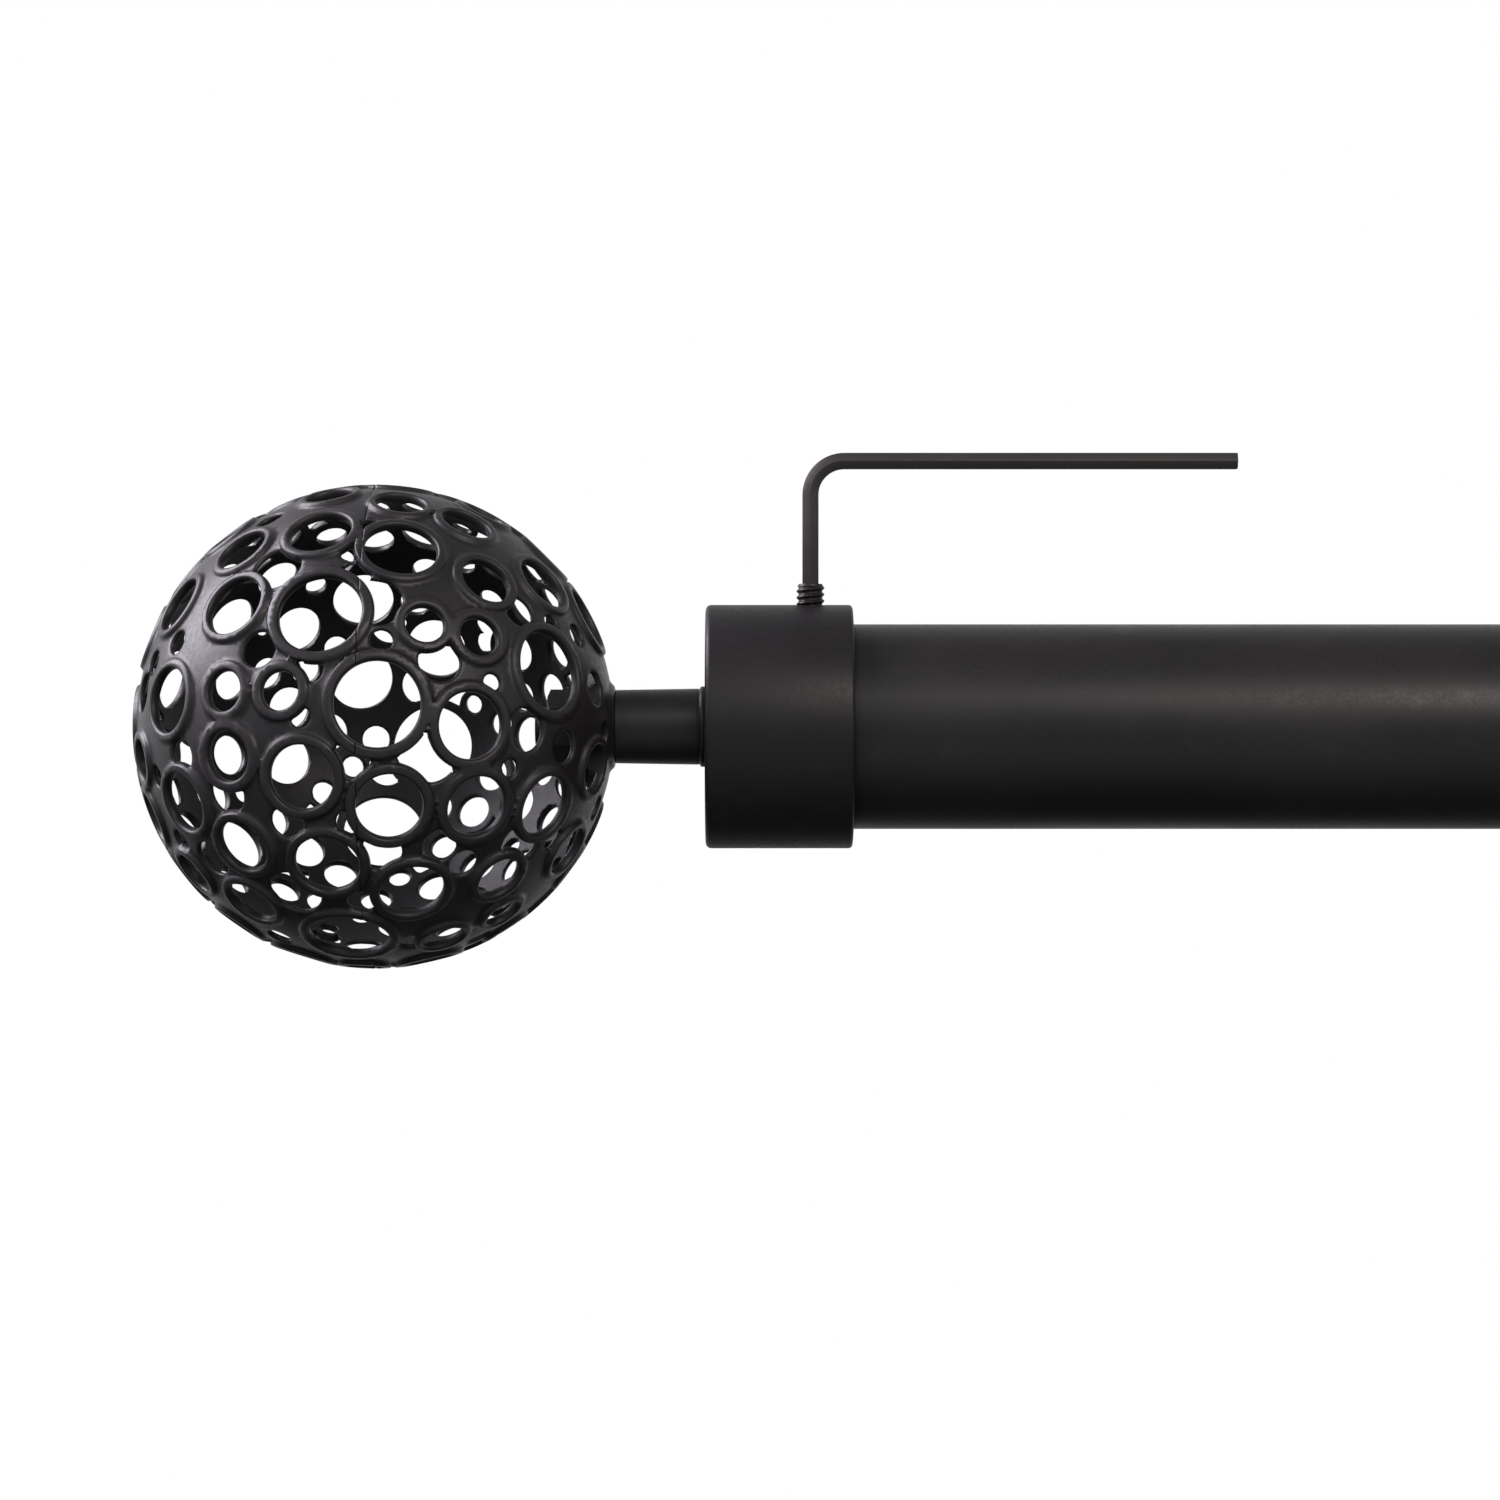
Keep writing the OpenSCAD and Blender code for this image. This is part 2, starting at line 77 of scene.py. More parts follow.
ROD_AXIS = middle("outer_tube")
ROD_R = radius("outer_tube")
print("rod radius in mm:", round(ROD_R / MM, 2), "axis at y =", round(ROD_AXIS.y / MM, 1))


# %% [markdown]
# ## The camera
# A long lens, level with the rod and looking straight at the wall, shows the left end of the
# rod: the whole ball, the cap, the key, and as much tube as the rest of the width holds.
# The brackets stand just outside the view. A long lens a little over half a metre away keeps
# the ball round and the tube's edges straight. The middle of the view is just beside the
# cap's outer face, and a little lower than the rod, which leaves room for the key above.

# %% Camera
LENS = 105
SENSOR = 36
NEAREST = 10 * MM
VIEW_DISTANCE = 543 * MM
VIEW_BESIDE_CAP = 5.5 * MM
VIEW_BELOW_ROD = 2.9 * MM
CAP_FACE, CAP_MOUTH = span("left_end_cap", 0)
bpy.ops.object.camera_add(
    location=(CAP_FACE + VIEW_BESIDE_CAP, ROD_AXIS.y - VIEW_DISTANCE, -VIEW_BELOW_ROD),
    rotation=(math.radians(90), 0, 0),
)
camera = bpy.context.object
camera.name = "camera"
camera.data.lens = LENS
camera.data.sensor_width = SENSOR
camera.data.clip_start = NEAREST
bpy.context.scene.camera = camera
print("camera looks along +Y from", [round(v / MM, 1) for v in camera.location])

# %% [markdown]
# ## Light
# Satin black shows almost nothing of its own: it shows the room. So the light is one large
# soft room. It is bright behind the object, which gives the pale rim along every edge, it
# has one broad soft light in front and above, which gives the long highlight on the tube,
# and it is dark below. The room turns about the X axis, because the rod runs along X.
# Each stop is the angle, in degrees, from straight in front, up over the top to behind, and
# how bright the room is there. Only reflections see it: the camera itself sees plain white.

# %% Soft room
ROOM_STOPS = [
    (-180, 0.8), (-150, 0.3), (-125, 0.06), (-95, 0.03), (-72, 0.07), (-50, 0.23), (-28, 0.36),
    (-6, 0.28), (12, 0.46), (30, 0.78), (48, 0.52), (70, 0.29), (100, 0.25), (130, 0.38),
    (180, 0.8),
]
world = bpy.data.worlds.new("soft_room")
bpy.context.scene.world = world
world.use_nodes = True
room = world.node_tree
room.nodes.clear()
direction = room.nodes.new("ShaderNodeTexCoord")
split = room.nodes.new("ShaderNodeSeparateXYZ")
front = room.nodes.new("ShaderNodeMath")
front.operation = "MULTIPLY"
front.inputs[1].default_value = -1
angle = room.nodes.new("ShaderNodeMath")
angle.operation = "ARCTAN2"
turn = room.nodes.new("ShaderNodeMapRange")
turn.inputs["From Min"].default_value = -math.pi
turn.inputs["From Max"].default_value = math.pi
ramp = room.nodes.new("ShaderNodeValToRGB")
ramp.color_ramp.interpolation = "EASE"
while len(ramp.color_ramp.elements) < len(ROOM_STOPS):
    ramp.color_ramp.elements.new(0.5)
for stop, (degrees, light) in zip(ramp.color_ramp.elements, ROOM_STOPS):
    stop.position = (degrees + 180) / 360
    stop.color = (light, light, light, 1)
seen = room.nodes.new("ShaderNodeLightPath")
white = room.nodes.new("ShaderNodeBackground")
white.inputs["Color"].default_value = (1, 1, 1, 1)
soft = room.nodes.new("ShaderNodeBackground")
choose = room.nodes.new("ShaderNodeMixShader")
out = room.nodes.new("ShaderNodeOutputWorld")
room.links.new(direction.outputs["Generated"], split.inputs[0])
room.links.new(split.outputs["Y"], front.inputs[0])
room.links.new(split.outputs["Z"], angle.inputs[0])
room.links.new(front.outputs[0], angle.inputs[1])
room.links.new(angle.outputs[0], turn.inputs["Value"])
room.links.new(turn.outputs["Result"], ramp.inputs["Fac"])
room.links.new(ramp.outputs["Color"], soft.inputs["Color"])
room.links.new(seen.outputs["Is Camera Ray"], choose.inputs["Fac"])
room.links.new(soft.outputs[0], choose.inputs[1])
room.links.new(white.outputs[0], choose.inputs[2])
room.links.new(choose.outputs[0], out.inputs["Surface"])
bpy.context.scene.view_settings.view_transform = "Standard"
print("room stops:", len(ROOM_STOPS))

# %% [markdown]
# A warm soft box over the tube and a cool one on the ball's upper left give the two faint
# tints that black paint picks up in a studio.

# %% Two soft boxes
def soft_box(name, place, target, size, watts, colour):
    """A rectangular lamp at a place, turned to face its target."""
    bpy.ops.object.light_add(type="AREA", location=place)
    lamp = bpy.context.object
    lamp.name = name
    lamp.data.shape = "RECTANGLE"
    lamp.data.size, lamp.data.size_y = size
    lamp.data.energy = watts
    lamp.data.color = colour
    aim = target - place
    lamp.rotation_euler = aim.to_track_quat("-Z", "Y").to_euler()
    return lamp


BALL = (middle("left_ball_outer_half") + middle("left_ball_neck_half")) / 2
BALL.x = span("left_ball_neck_half", 0)[0]
ON_TUBE = BALL + Vector((150, 0, 0)) * MM
soft_box("warm_box", BALL + Vector((360, -620, 420)) * MM, ON_TUBE,
         (500 * MM, 250 * MM), 1.7, (1.0, 0.9, 0.84))
soft_box("cool_box", BALL + Vector((-420, 80, 320)) * MM, BALL,
         (420 * MM, 420 * MM), 5.0, (0.95, 0.9, 1.0))
print("ball middle in mm:", [round(v / MM, 2) for v in BALL])

# %% [markdown]
# The floor is a pale disc below the object. It is small enough to stay out of the front view,
# where only the white room shows behind the rod. It is hidden from reflections, because the
# underside of the black paint should mirror nothing and stay nearly black.

# %% Floor
FLOOR_R = 550 * MM
FLOOR_Z = -300 * MM
PALE = (0.82, 0.82, 0.82, 1)
bpy.ops.mesh.primitive_circle_add(
    vertices=96, radius=FLOOR_R, fill_type="NGON",
    location=(ROD_AXIS.x, ROD_AXIS.y, FLOOR_Z),
)
floor = bpy.context.object
floor.name = "floor"
floor_paint = bpy.data.materials.new("pale_floor")
floor_paint.use_nodes = True
floor_shader = floor_paint.node_tree.nodes["Principled BSDF"]
floor_shader.inputs["Base Color"].default_value = PALE
floor_shader.inputs["Roughness"].default_value = 0.9
floor.data.materials.append(floor_paint)
floor.visible_glossy = False
floor.visible_diffuse = False
print("floor at z =", floor.location.z)

# %% [markdown]
# ## Finishes
# Every metal part is painted or blackened, and the finishes differ by small amounts: how
# dark, how rough, how fine the grain. One function builds such a finish. Its colour wanders a
# little between two tones, its roughness has a slow cloud and a fine speckle, and a bump
# gives the orange-peel grain of powder paint. A mask marks wear and a painted highlight: here
# and there a scuff, which is wear, and on the ball the tops of the rings, where a highlight is
# painted. A marked place is a little lighter and a little smoother.
# All patterns read Object coordinates.

# %% One function for the black finishes
CLOUDS = 55          # patches a metre, for the slow change of tone
SCUFF_PATCHES = 240  # patches a metre, for the scuffs
# Scuffs, which are wear, and the painted highlight on the ball's ring tops both lighten towards
# this tone.
WORN_AND_HIGHLIGHT = 2.0           # rubbed paint is this many times lighter than the light tone
SCUFF = 0.35         # how far a scuff goes towards it
# The tops of the ball's rings are lightened as a painted highlight, and made a little smoother.
CREST_HIGHLIGHT = 0.3      # how far the tops of the ball's rings go towards it
POLISH = 0.12        # roughness a fully rubbed place loses
SPECKLE = 0.05       # roughness the grain adds or takes
GRAIN_HEIGHT = 0.02 * MM


def noise(tree, coords, scale, detail, stretch=(1, 1, 1)):
    """A noise pattern. scale is in patches a metre."""
    spread = tree.nodes.new("ShaderNodeMapping")
    spread.inputs["Scale"].default_value = stretch
    tree.links.new(coords, spread.inputs["Vector"])
    node = tree.nodes.new("ShaderNodeTexNoise")
    node.inputs["Scale"].default_value = scale
    node.inputs["Detail"].default_value = detail
    tree.links.new(spread.outputs[0], node.inputs["Vector"])
    return node.outputs["Fac"]


def remap(tree, value, low, high, start=0.3, end=0.7):
    """Carries the range start to end, where noise mostly lies, to the range low to high."""
    node = tree.nodes.new("ShaderNodeMapRange")
    node.inputs["From Min"].default_value = start
    node.inputs["From Max"].default_value = end
    node.inputs["To Min"].default_value = low
    node.inputs["To Max"].default_value = high
    tree.links.new(value, node.inputs["Value"])
    return node.outputs["Result"]


def blend_colours(tree, value, stops):
    """A colour ramp with a colour at each stop."""
    node = tree.nodes.new("ShaderNodeValToRGB")
    while len(node.color_ramp.elements) < len(stops):
        node.color_ramp.elements.new(0.5)
    for element, (place, colour) in zip(node.color_ramp.elements, stops):
        element.position = place
        element.color = (*colour, 1)
    tree.links.new(value, node.inputs["Fac"])
    return node.outputs["Color"]


def mixed_sum(tree, value, other, share=1.0):
    """value * share + other."""
    node = tree.nodes.new("ShaderNodeMath")
    node.operation = "MULTIPLY_ADD"
    node.inputs[1].default_value = share
    tree.links.new(value, node.inputs[0])
    tree.links.new(other, node.inputs[2])
    return node.outputs[0]


def scuffs_and_highlight(tree, coords, stretch, raised):
    """Where the finish is marked: a few scuffs of wear, and a painted highlight on the raised
    places if they are stored.
    """
    scuffs = remap(tree, noise(tree, coords, SCUFF_PATCHES, 6, stretch), 0, SCUFF, 0.58, 0.72)
    if raised is None:
        return scuffs
    height = tree.nodes.new("ShaderNodeAttribute")
    height.attribute_name = raised
    # The raised places, the ring tops, get a painted highlight.
    return mixed_sum(tree, remap(tree, height.outputs["Fac"], 0, CREST_HIGHLIGHT, 0.4, 1), scuffs)


def black_finish(name, dark, light, rough, grain=1400, bump=0.2, metallic=0.0,
                 shine=0.5, stretch=(1, 1, 1), raised=None):
    """Paint or blackening: two close tones, scuffs, a painted highlight on raised places, a
    roughness range and a fine grain.
    """
    material = bpy.data.materials.new(name)
    material.use_nodes = True
    tree = material.node_tree
    shader = tree.nodes["Principled BSDF"]
    coords = tree.nodes.new("ShaderNodeTexCoord").outputs["Object"]
    cloud = noise(tree, coords, CLOUDS, 3, stretch)
    fine = noise(tree, coords, grain, 2, stretch)
    scuff_and_highlight_mask = scuffs_and_highlight(tree, coords, stretch, raised)
    paint = tree.nodes.new("ShaderNodeMix")
    paint.data_type = "RGBA"
    factor, fresh, worn_and_highlight_tone = paint.inputs[0], paint.inputs[6], paint.inputs[7]
    # The worn tone also gives the painted highlight on the raised places.
    worn_and_highlight_tone.default_value = (*[WORN_AND_HIGHLIGHT * tone for tone in light], 1)
    tree.links.new(scuff_and_highlight_mask, factor)
    tree.links.new(blend_colours(tree, cloud, [(0.35, dark), (0.65, light)]), fresh)
    tree.links.new(paint.outputs[2], shader.inputs["Base Color"])
    speckled = mixed_sum(tree, remap(tree, fine, -SPECKLE, SPECKLE),
                         remap(tree, cloud, rough[0], rough[1]))
    tree.links.new(mixed_sum(tree, scuff_and_highlight_mask, speckled, -POLISH), shader.inputs["Roughness"])
    relief = tree.nodes.new("ShaderNodeBump")
    relief.inputs["Strength"].default_value = bump
    relief.inputs["Distance"].default_value = GRAIN_HEIGHT
    tree.links.new(fine, relief.inputs["Height"])
    tree.links.new(relief.outputs[0], shader.inputs["Normal"])
    shader.inputs["Metallic"].default_value = metallic
    shader.inputs["Specular IOR Level"].default_value = shine
    return material


FINISH = {
    "rod_black": black_finish(
        "satin_black_tube", (0.0098, 0.0084, 0.0092), (0.0135, 0.0115, 0.0125), (0.34, 0.42),
        grain=2200, bump=0.15),
    # The ball's paint reads the crest heights and paints a highlight on the tops of the rings.
    "finial_black": black_finish(
        "satin_black_ball", (0.0095, 0.0082, 0.0096), (0.0145, 0.0125, 0.015), (0.36, 0.46),
        grain=1700, bump=0.3, raised="crest"),
    "cap_black": black_finish(
        "satin_black_cap", (0.0076, 0.0062, 0.0075), (0.0108, 0.009, 0.0108), (0.42, 0.52),
        grain=1900, bump=0.3, shine=0.42),
    "bracket_black": black_finish(
        "satin_black_bracket", (0.010, 0.0095, 0.0095), (0.015, 0.014, 0.0135), (0.4, 0.52),
        grain=1500, bump=0.4),
    "screw_black_oxide": black_finish(
        "black_oxide", (0.012, 0.011, 0.0105), (0.03, 0.027, 0.025), (0.34, 0.5),
        grain=3500, bump=0.3, metallic=0.35),
    "fixing_black": black_finish(
        "blackened_steel", (0.014, 0.0135, 0.013), (0.026, 0.025, 0.024), (0.38, 0.52),
        grain=3000, bump=0.3, metallic=0.3),
    "key_steel": black_finish(
        "dark_key_steel", (0.044, 0.039, 0.04), (0.07, 0.063, 0.064), (0.36, 0.5),
        grain=2600, bump=0.3, metallic=0.4, stretch=(0.3, 1, 1)),
    "black_plastic": black_finish(
        "moulded_plastic", (0.009, 0.009, 0.009), (0.013, 0.013, 0.013), (0.5, 0.62),
        grain=1200, bump=0.5),
}
print("finishes:", ", ".join(sorted(FINISH)))


# %% [markdown]
# ## Working by hand, in code
# An operator acts on everything that is selected, so each step first deselects all. `begin`
# takes the primitive that was just added, `edit` opens its mesh, and `apply` applies its
# modifiers. `hand_over` names the finished piece, gives it its finish and its body, and hides
# the CAD node it stands for.

# %% Helpers for modelling
SAME_PLACE = 0.001 * MM


def begin(name):
    """Names the primitive that was just added, and returns it."""
    piece = bpy.context.object
    piece.name = name
    piece.data.name = name
    return piece


def deselect():
    bpy.ops.object.select_all(action="DESELECT")


def only(piece):
    """Selects this piece alone and makes it the active one."""
    deselect()
    piece.select_set(True)
    bpy.context.view_layer.objects.active = piece


def edit(piece, select="SELECT"):
    """Opens the mesh with everything selected, or nothing."""
    only(piece)
    bpy.ops.object.mode_set(mode="EDIT")
    bpy.ops.mesh.select_all(action=select)


def done():
    bpy.ops.object.mode_set(mode="OBJECT")


def settle(piece):
    """Turn, size and place go into the mesh, so the object itself sits at the origin."""
    only(piece)
    bpy.ops.object.transform_apply(location=True, rotation=True, scale=True)


def apply(piece, kind, **settings):
    """Puts a modifier on a piece and applies it at once."""
    only(piece)
    modifier = piece.modifiers.new(kind.lower(), kind)
    for key, value in settings.items():
        setattr(modifier, key, value)
    bpy.ops.object.modifier_apply(modifier=modifier.name)


def carve(piece, tool, operation="DIFFERENCE"):
    """Cuts a tool's shape out of a piece, or joins the two, and removes the tool."""
    apply(piece, "BOOLEAN", object=tool, operation=operation, solver="EXACT")
    bpy.data.objects.remove(tool, do_unlink=True)


def shade(piece, degrees=35):
    """Smooth shading, with edges sharper than the angle left crisp."""
    only(piece)
    bpy.ops.object.shade_smooth_by_angle(angle=math.radians(degrees))


def clean(piece):
    """Merges the points that lie on each other and turns every face outwards."""
    edit(piece)
    bpy.ops.mesh.remove_doubles(threshold=SAME_PLACE)
    bpy.ops.mesh.normals_make_consistent(inside=False)
    done()


TABLE = []


def hand_over(piece, name, body, node, slot):
    """Names a finished piece, paints it, ties it to its body and hides its CAD node."""
    piece.name = name
    piece.data.name = name
    piece.data.materials.clear()
    piece.data.materials.append(FINISH[slot])
    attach(piece, body)
    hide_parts(node)
    piece.data.calc_loop_triangles()
    TABLE.append((name, len(piece.data.loop_triangles)))
    print(f"{name}: {TABLE[-1][1]} triangles, rides on {body}")


def copy_of(piece, turn=None, move=(0, 0, 0)):
    """A copy with its own mesh, turned by a matrix about the origin and then moved."""
    other = piece.copy()
    other.data = piece.data.copy()
    bpy.context.collection.objects.link(other)
    other.data.transform(Matrix.Translation(move) @ (turn or Matrix.Identity(4)))
    return other


print("points closer than", SAME_PLACE / MM, "mm are merged")

# %% [markdown]
# Most of the parts are turned on a lathe, so they are made as on a lathe: the outline of half
# the section is drawn once and spun round the axis. `rounded` puts a small arc on each
# corner of the outline, because a real edge is never sharp and it is the edge that catches
# the light.

# %% An outline with rounded corners
def rounded(points, steps=4):
    """Points are (along, out, corner radius). Returns the outline with its arcs."""
    outline = []
    count = len(points)
    for i, (along, outward, corner) in enumerate(points):
        here = Vector((along, outward))
        if corner <= 0:
            outline.append(here)
            continue
        before = (Vector(points[i - 1][:2]) - here).normalized()
        after = (Vector(points[(i + 1) % count][:2]) - here).normalized()
        half = before.angle(after) / 2
        reach = corner / math.tan(half)
        centre = here + (before + after).normalized() * corner / math.sin(half)
        first = here + before * reach - centre
        last = here + after * reach - centre
        for k in range(steps + 1):
            arm = first.slerp(last, k / steps).normalized() * corner
            outline.append(centre + arm)
    return outline


def outline_loop(name, points, place):
    """A closed loop of edges through the points. place maps a point to space."""
    deselect()
    bpy.ops.mesh.primitive_circle_add(vertices=len(points), radius=1, fill_type="NOTHING")
    piece = begin(name)
    for vertex, point in zip(piece.data.vertices, points):
        vertex.co = place(point)
    piece.data.update()
    return piece


RIGHTWARD, BACKWARD, UPWARD = Vector((1, 0, 0)), Vector((0, 1, 0)), Vector((0, 0, 1))
AXES = {"X": (RIGHTWARD, UPWARD), "Y": (BACKWARD, UPWARD), "Z": (UPWARD, RIGHTWARD)}


def lathe(name, points, axis, centre, segments=96, steps=4):
    """Spins the outline of points (along the axis, out from it, corner) round the axis."""
    along, outward = AXES[axis]
    centre = Vector(centre)
    piece = outline_loop(
        name, rounded(points, steps), lambda p: centre + along * p[0] + outward * max(p[1], 0))
    edit(piece)
    bpy.ops.mesh.spin(steps=segments, angle=2 * math.pi, center=centre, axis=along)
    done()
    clean(piece)
    return piece


SQUARE = [(0, 0, 1), (4, 0, 1), (4, 4, 1), (0, 4, 1)]
print("a square with rounded corners has", len(rounded(SQUARE)), "points")

# %% [markdown]
# ## The two tubes and their plastics
# The outer tube is a plain drawn tube. Its ends are eased by 0.15 mm, inside and out, as a
# deburring tool leaves them. The inner tube is the same shape, one size smaller. A plastic
# bush with a thin flange closes the gap at the mouth, and a plug centres the inner tube's
# hidden end. Rounded sections spun once round the axis give all of them.

# %% Tubes, bush and plug
INNER_R = radius("inner_tube")
TUBE_WALL = 0.8 * MM
INNER_WALL = 0.7 * MM
TUBE_EASE = 0.15 * MM
SNUG = 0.05 * MM
SLIDING = 0.1 * MM
ON_AXIS = (0, ROD_AXIS.y, ROD_AXIS.z)


def ring_section(x0, x1, r_in, r_out, ease):
    """The section of a tube from x0 to x1, with all four edges eased."""
    return [(x0, r_in, ease), (x1, r_in, ease), (x1, r_out, ease), (x0, r_out, ease)]


x0, MOUTH = span("outer_tube", 0)
tube = lathe("outer_tube", ring_section(x0, MOUTH, ROD_R - TUBE_WALL, ROD_R, TUBE_EASE),
             "X", ON_AXIS, 160)
shade(tube)
hand_over(tube, "rod_outer_tube", "rod", "outer_tube", "rod_black")

x0, x1 = span("inner_tube", 0)
inner = lathe("inner_tube", ring_section(x0, x1, INNER_R - INNER_WALL, INNER_R, TUBE_EASE),
              "X", ON_AXIS, 160)
shade(inner)
hand_over(inner, "rod_inner_tube", "inner_rod", "inner_tube", "rod_black")

x0, x1 = span("mouth_bush", 0)
SLEEVE_R = ROD_R - TUBE_WALL - SNUG
bush = lathe("mouth_bush", [
    (x0, INNER_R + SLIDING, 0.1 * MM), (x1, INNER_R + SLIDING, 0.3 * MM),
    (x1, ROD_R, 0.4 * MM), (MOUTH, ROD_R, 0.1 * MM), (MOUTH, SLEEVE_R, 0),
    (x0, SLEEVE_R, 0.1 * MM)], "X", ON_AXIS, 128)
shade(bush)
hand_over(bush, "rod_mouth_bush", "rod", "mouth_bush", "black_plastic")

# %% [markdown]
# ## End caps
# A cap is a turned cup. Its closed face has a hole for the stud and its open end slides over
# the tube. The set screw's hole is drilled through the wall at the top, with a small
# countersink, so a cutter of that shape is spun and carved away.

# %% End caps
CAP_R = radius("left_end_cap")
CAP_END = 3 * MM
STUD_HOLE_R = 2.6 * MM
PAST = 1 * MM         # a cutter stands this far past the face it cuts
SINK = 1.4 * MM       # a countersink is this much wider than its hole
SET_R = radius("left_set_screw", 0)


def end_cap(name, face, mouth, bore_r, screw_x):
    """A turned cup. face and mouth are the x of its closed and its open end."""
    inwards = 1 if mouth > face else -1
    floor_x = face + inwards * CAP_END
    cap = lathe(name, [
        (face, STUD_HOLE_R, 0.2 * MM), (face, CAP_R, 0.7 * MM), (mouth, CAP_R, 0.5 * MM),
        (mouth, bore_r, 0.3 * MM), (floor_x, bore_r, 0), (floor_x, STUD_HOLE_R, 0)],
        "X", ON_AXIS, 160, 5)
    drill = lathe("drill", [
        (bore_r - 2 * PAST, 0, 0), (bore_r - 2 * PAST, SET_R + SNUG, 0),
        (CAP_R - 0.35 * MM, SET_R + SNUG, 0), (CAP_R + PAST, SET_R + SINK, 0),
        (CAP_R + PAST, 0, 0)], "Z", (screw_x, ROD_AXIS.y, ROD_AXIS.z), 48)
    carve(cap, drill)
    shade(cap, 40)
    return cap


RIGHT_MOUTH, RIGHT_FACE = span("right_end_cap", 0)
left_cup = end_cap("left_cap", CAP_FACE, CAP_MOUTH, ROD_R + SLIDING, middle("left_set_screw").x)
hand_over(left_cup, "left_cap_shell", "left_cap", "left_end_cap", "cap_black")
right_cup = end_cap(
    "right_cap", RIGHT_FACE, RIGHT_MOUTH, INNER_R + SLIDING, middle("right_set_screw").x)
hand_over(right_cup, "right_cap_shell", "right_cap", "right_end_cap", "cap_black")

# %% [markdown]
# ## Neck
# The neck is slimmer than the cap and widens a little towards it. It ends there in a thin
# bead, which is the fine bright line beside the cap. The right end is the same casting turned
# half round, so `to_right` turns a finished left piece about the vertical and moves it.

# %% Neck, and the way to the right end
HALF_TURN = Matrix.Rotation(math.pi, 4, "Z")
TO_RIGHT = Vector((RIGHT_FACE + CAP_FACE, 2 * ROD_AXIS.y, 0))


def to_right(piece):
    """The same casting for the right end."""
    return copy_of(piece, HALF_TURN, TO_RIGHT)


NECK_START, NECK_END = span("left_neck", 0)
NECK_R = 4.55 * MM
NECK_FOOT_R = 4.72 * MM
BEAD_R = radius("left_neck")
BEAD_X = NECK_END - 0.7 * MM
GROOVE = 0.35 * MM
neck = lathe("neck", [
    (NECK_START, STUD_HOLE_R, 0), (NECK_START, NECK_R, 0.12 * MM),
    (BEAD_X - GROOVE, NECK_FOOT_R, 0.3 * MM), (BEAD_X, NECK_FOOT_R - 0.05 * MM, 0.1 * MM),
    (BEAD_X, BEAD_R, 0.25 * MM), (NECK_END, BEAD_R, 0.25 * MM), (NECK_END, STUD_HOLE_R, 0)],
    "X", ON_AXIS, 96)
shade(neck)
neck_right = to_right(neck)
hand_over(neck, "left_neck_turned", "left_finial", "left_neck", "finial_black")
hand_over(neck_right, "right_neck_turned", "right_finial", "right_neck", "finial_black")

# %% [markdown]
# ## The openwork ball
# Each ball is cast in two halves. Raised rings of many sizes stand close together and touch,
# and small curved openings are left between them. No operator draws such a net, so this is
# the one mesh that is computed. A fine icosphere is cut along the exact outlines of the
# rings and openings, everything inside an opening is dropped, and what is left is given its
# relief: low web, raised rings, rounded edges.
# The lists give the direction of each ring or opening seen from the ball's middle (its turn
# from straight in front towards the neck, and its lift, in degrees), its hole's radius and,
# for the near rings, its band's width, in millimetres. RINGS and GAPS cover the near face,
# FAR_HOLES and FAR_GAPS the far face, and POLE_RING closes the end opposite the neck.

# %% The pattern
RINGS = [
    (-10, 27, 5.2, 1.5), (-36, 29, 3.9, 1.2), (-17, 52, 3.9, 1.3), (13, 46, 4.5, 1.3),
    (19, 66, 3.1, 1.2), (-47, 46, 3.3, 1.2), (-33, 8, 2.5, 1.3), (-18, 8, 2.4, 1.4),
    (-53, 6, 4.0, 1.3), (-32, -7, 3.1, 1.5), (-13, -12, 4.0, 1.4), (5, 5, 5.3, 1.5),
    (17, 24, 2.4, 1.3), (31, 21, 2.5, 1.4), (38, 36, 3.2, 1.3), (51, 13, 5.0, 1.4),
    (27, 0, 4.1, 1.4), (8, -19, 4.1, 1.4), (30, -19, 3.8, 1.4), (51, -19, 3.8, 1.3),
    (-33, -29, 3.4, 1.3), (-9, -34, 4.0, 1.3), (-50, -18, 3.7, 1.3), (16, -42, 4.0, 1.3),
    (44, -38, 2.9, 1.3), (-42, -46, 3.3, 1.2), (-8, -60, 5.0, 1.3), (38, -60, 2.6, 1.2),
    (58, -50, 2.3, 1.2), (71, -31, 3.2, 1.2), (-64, 30, 3.6, 1.2), (-34, 72, 3.0, 1.2),
    (46, 56, 3.2, 1.2), (62, 36, 3.6, 1.2), (70, -10, 3.0, 1.2), (-71, -8, 2.6, 1.2),
    (-64, -37, 2.8, 1.2), (-76, 52, 3.0, 1.2), (-84, 22, 3.2, 1.2), (76, 62, 2.8, 1.2),
    (70, -76, 3.4, 1.2), (-20, -83, 2.4, 1.2), (-72, -72, 3.4, 1.2), (-76, -55, 2.8, 1.2),
    (84, 27, 4.0, 1.3), (89, 45, 3.0, 1.2), (-88, -38, 3.4, 1.2), (-76, -22, 3.2, 1.2),
]
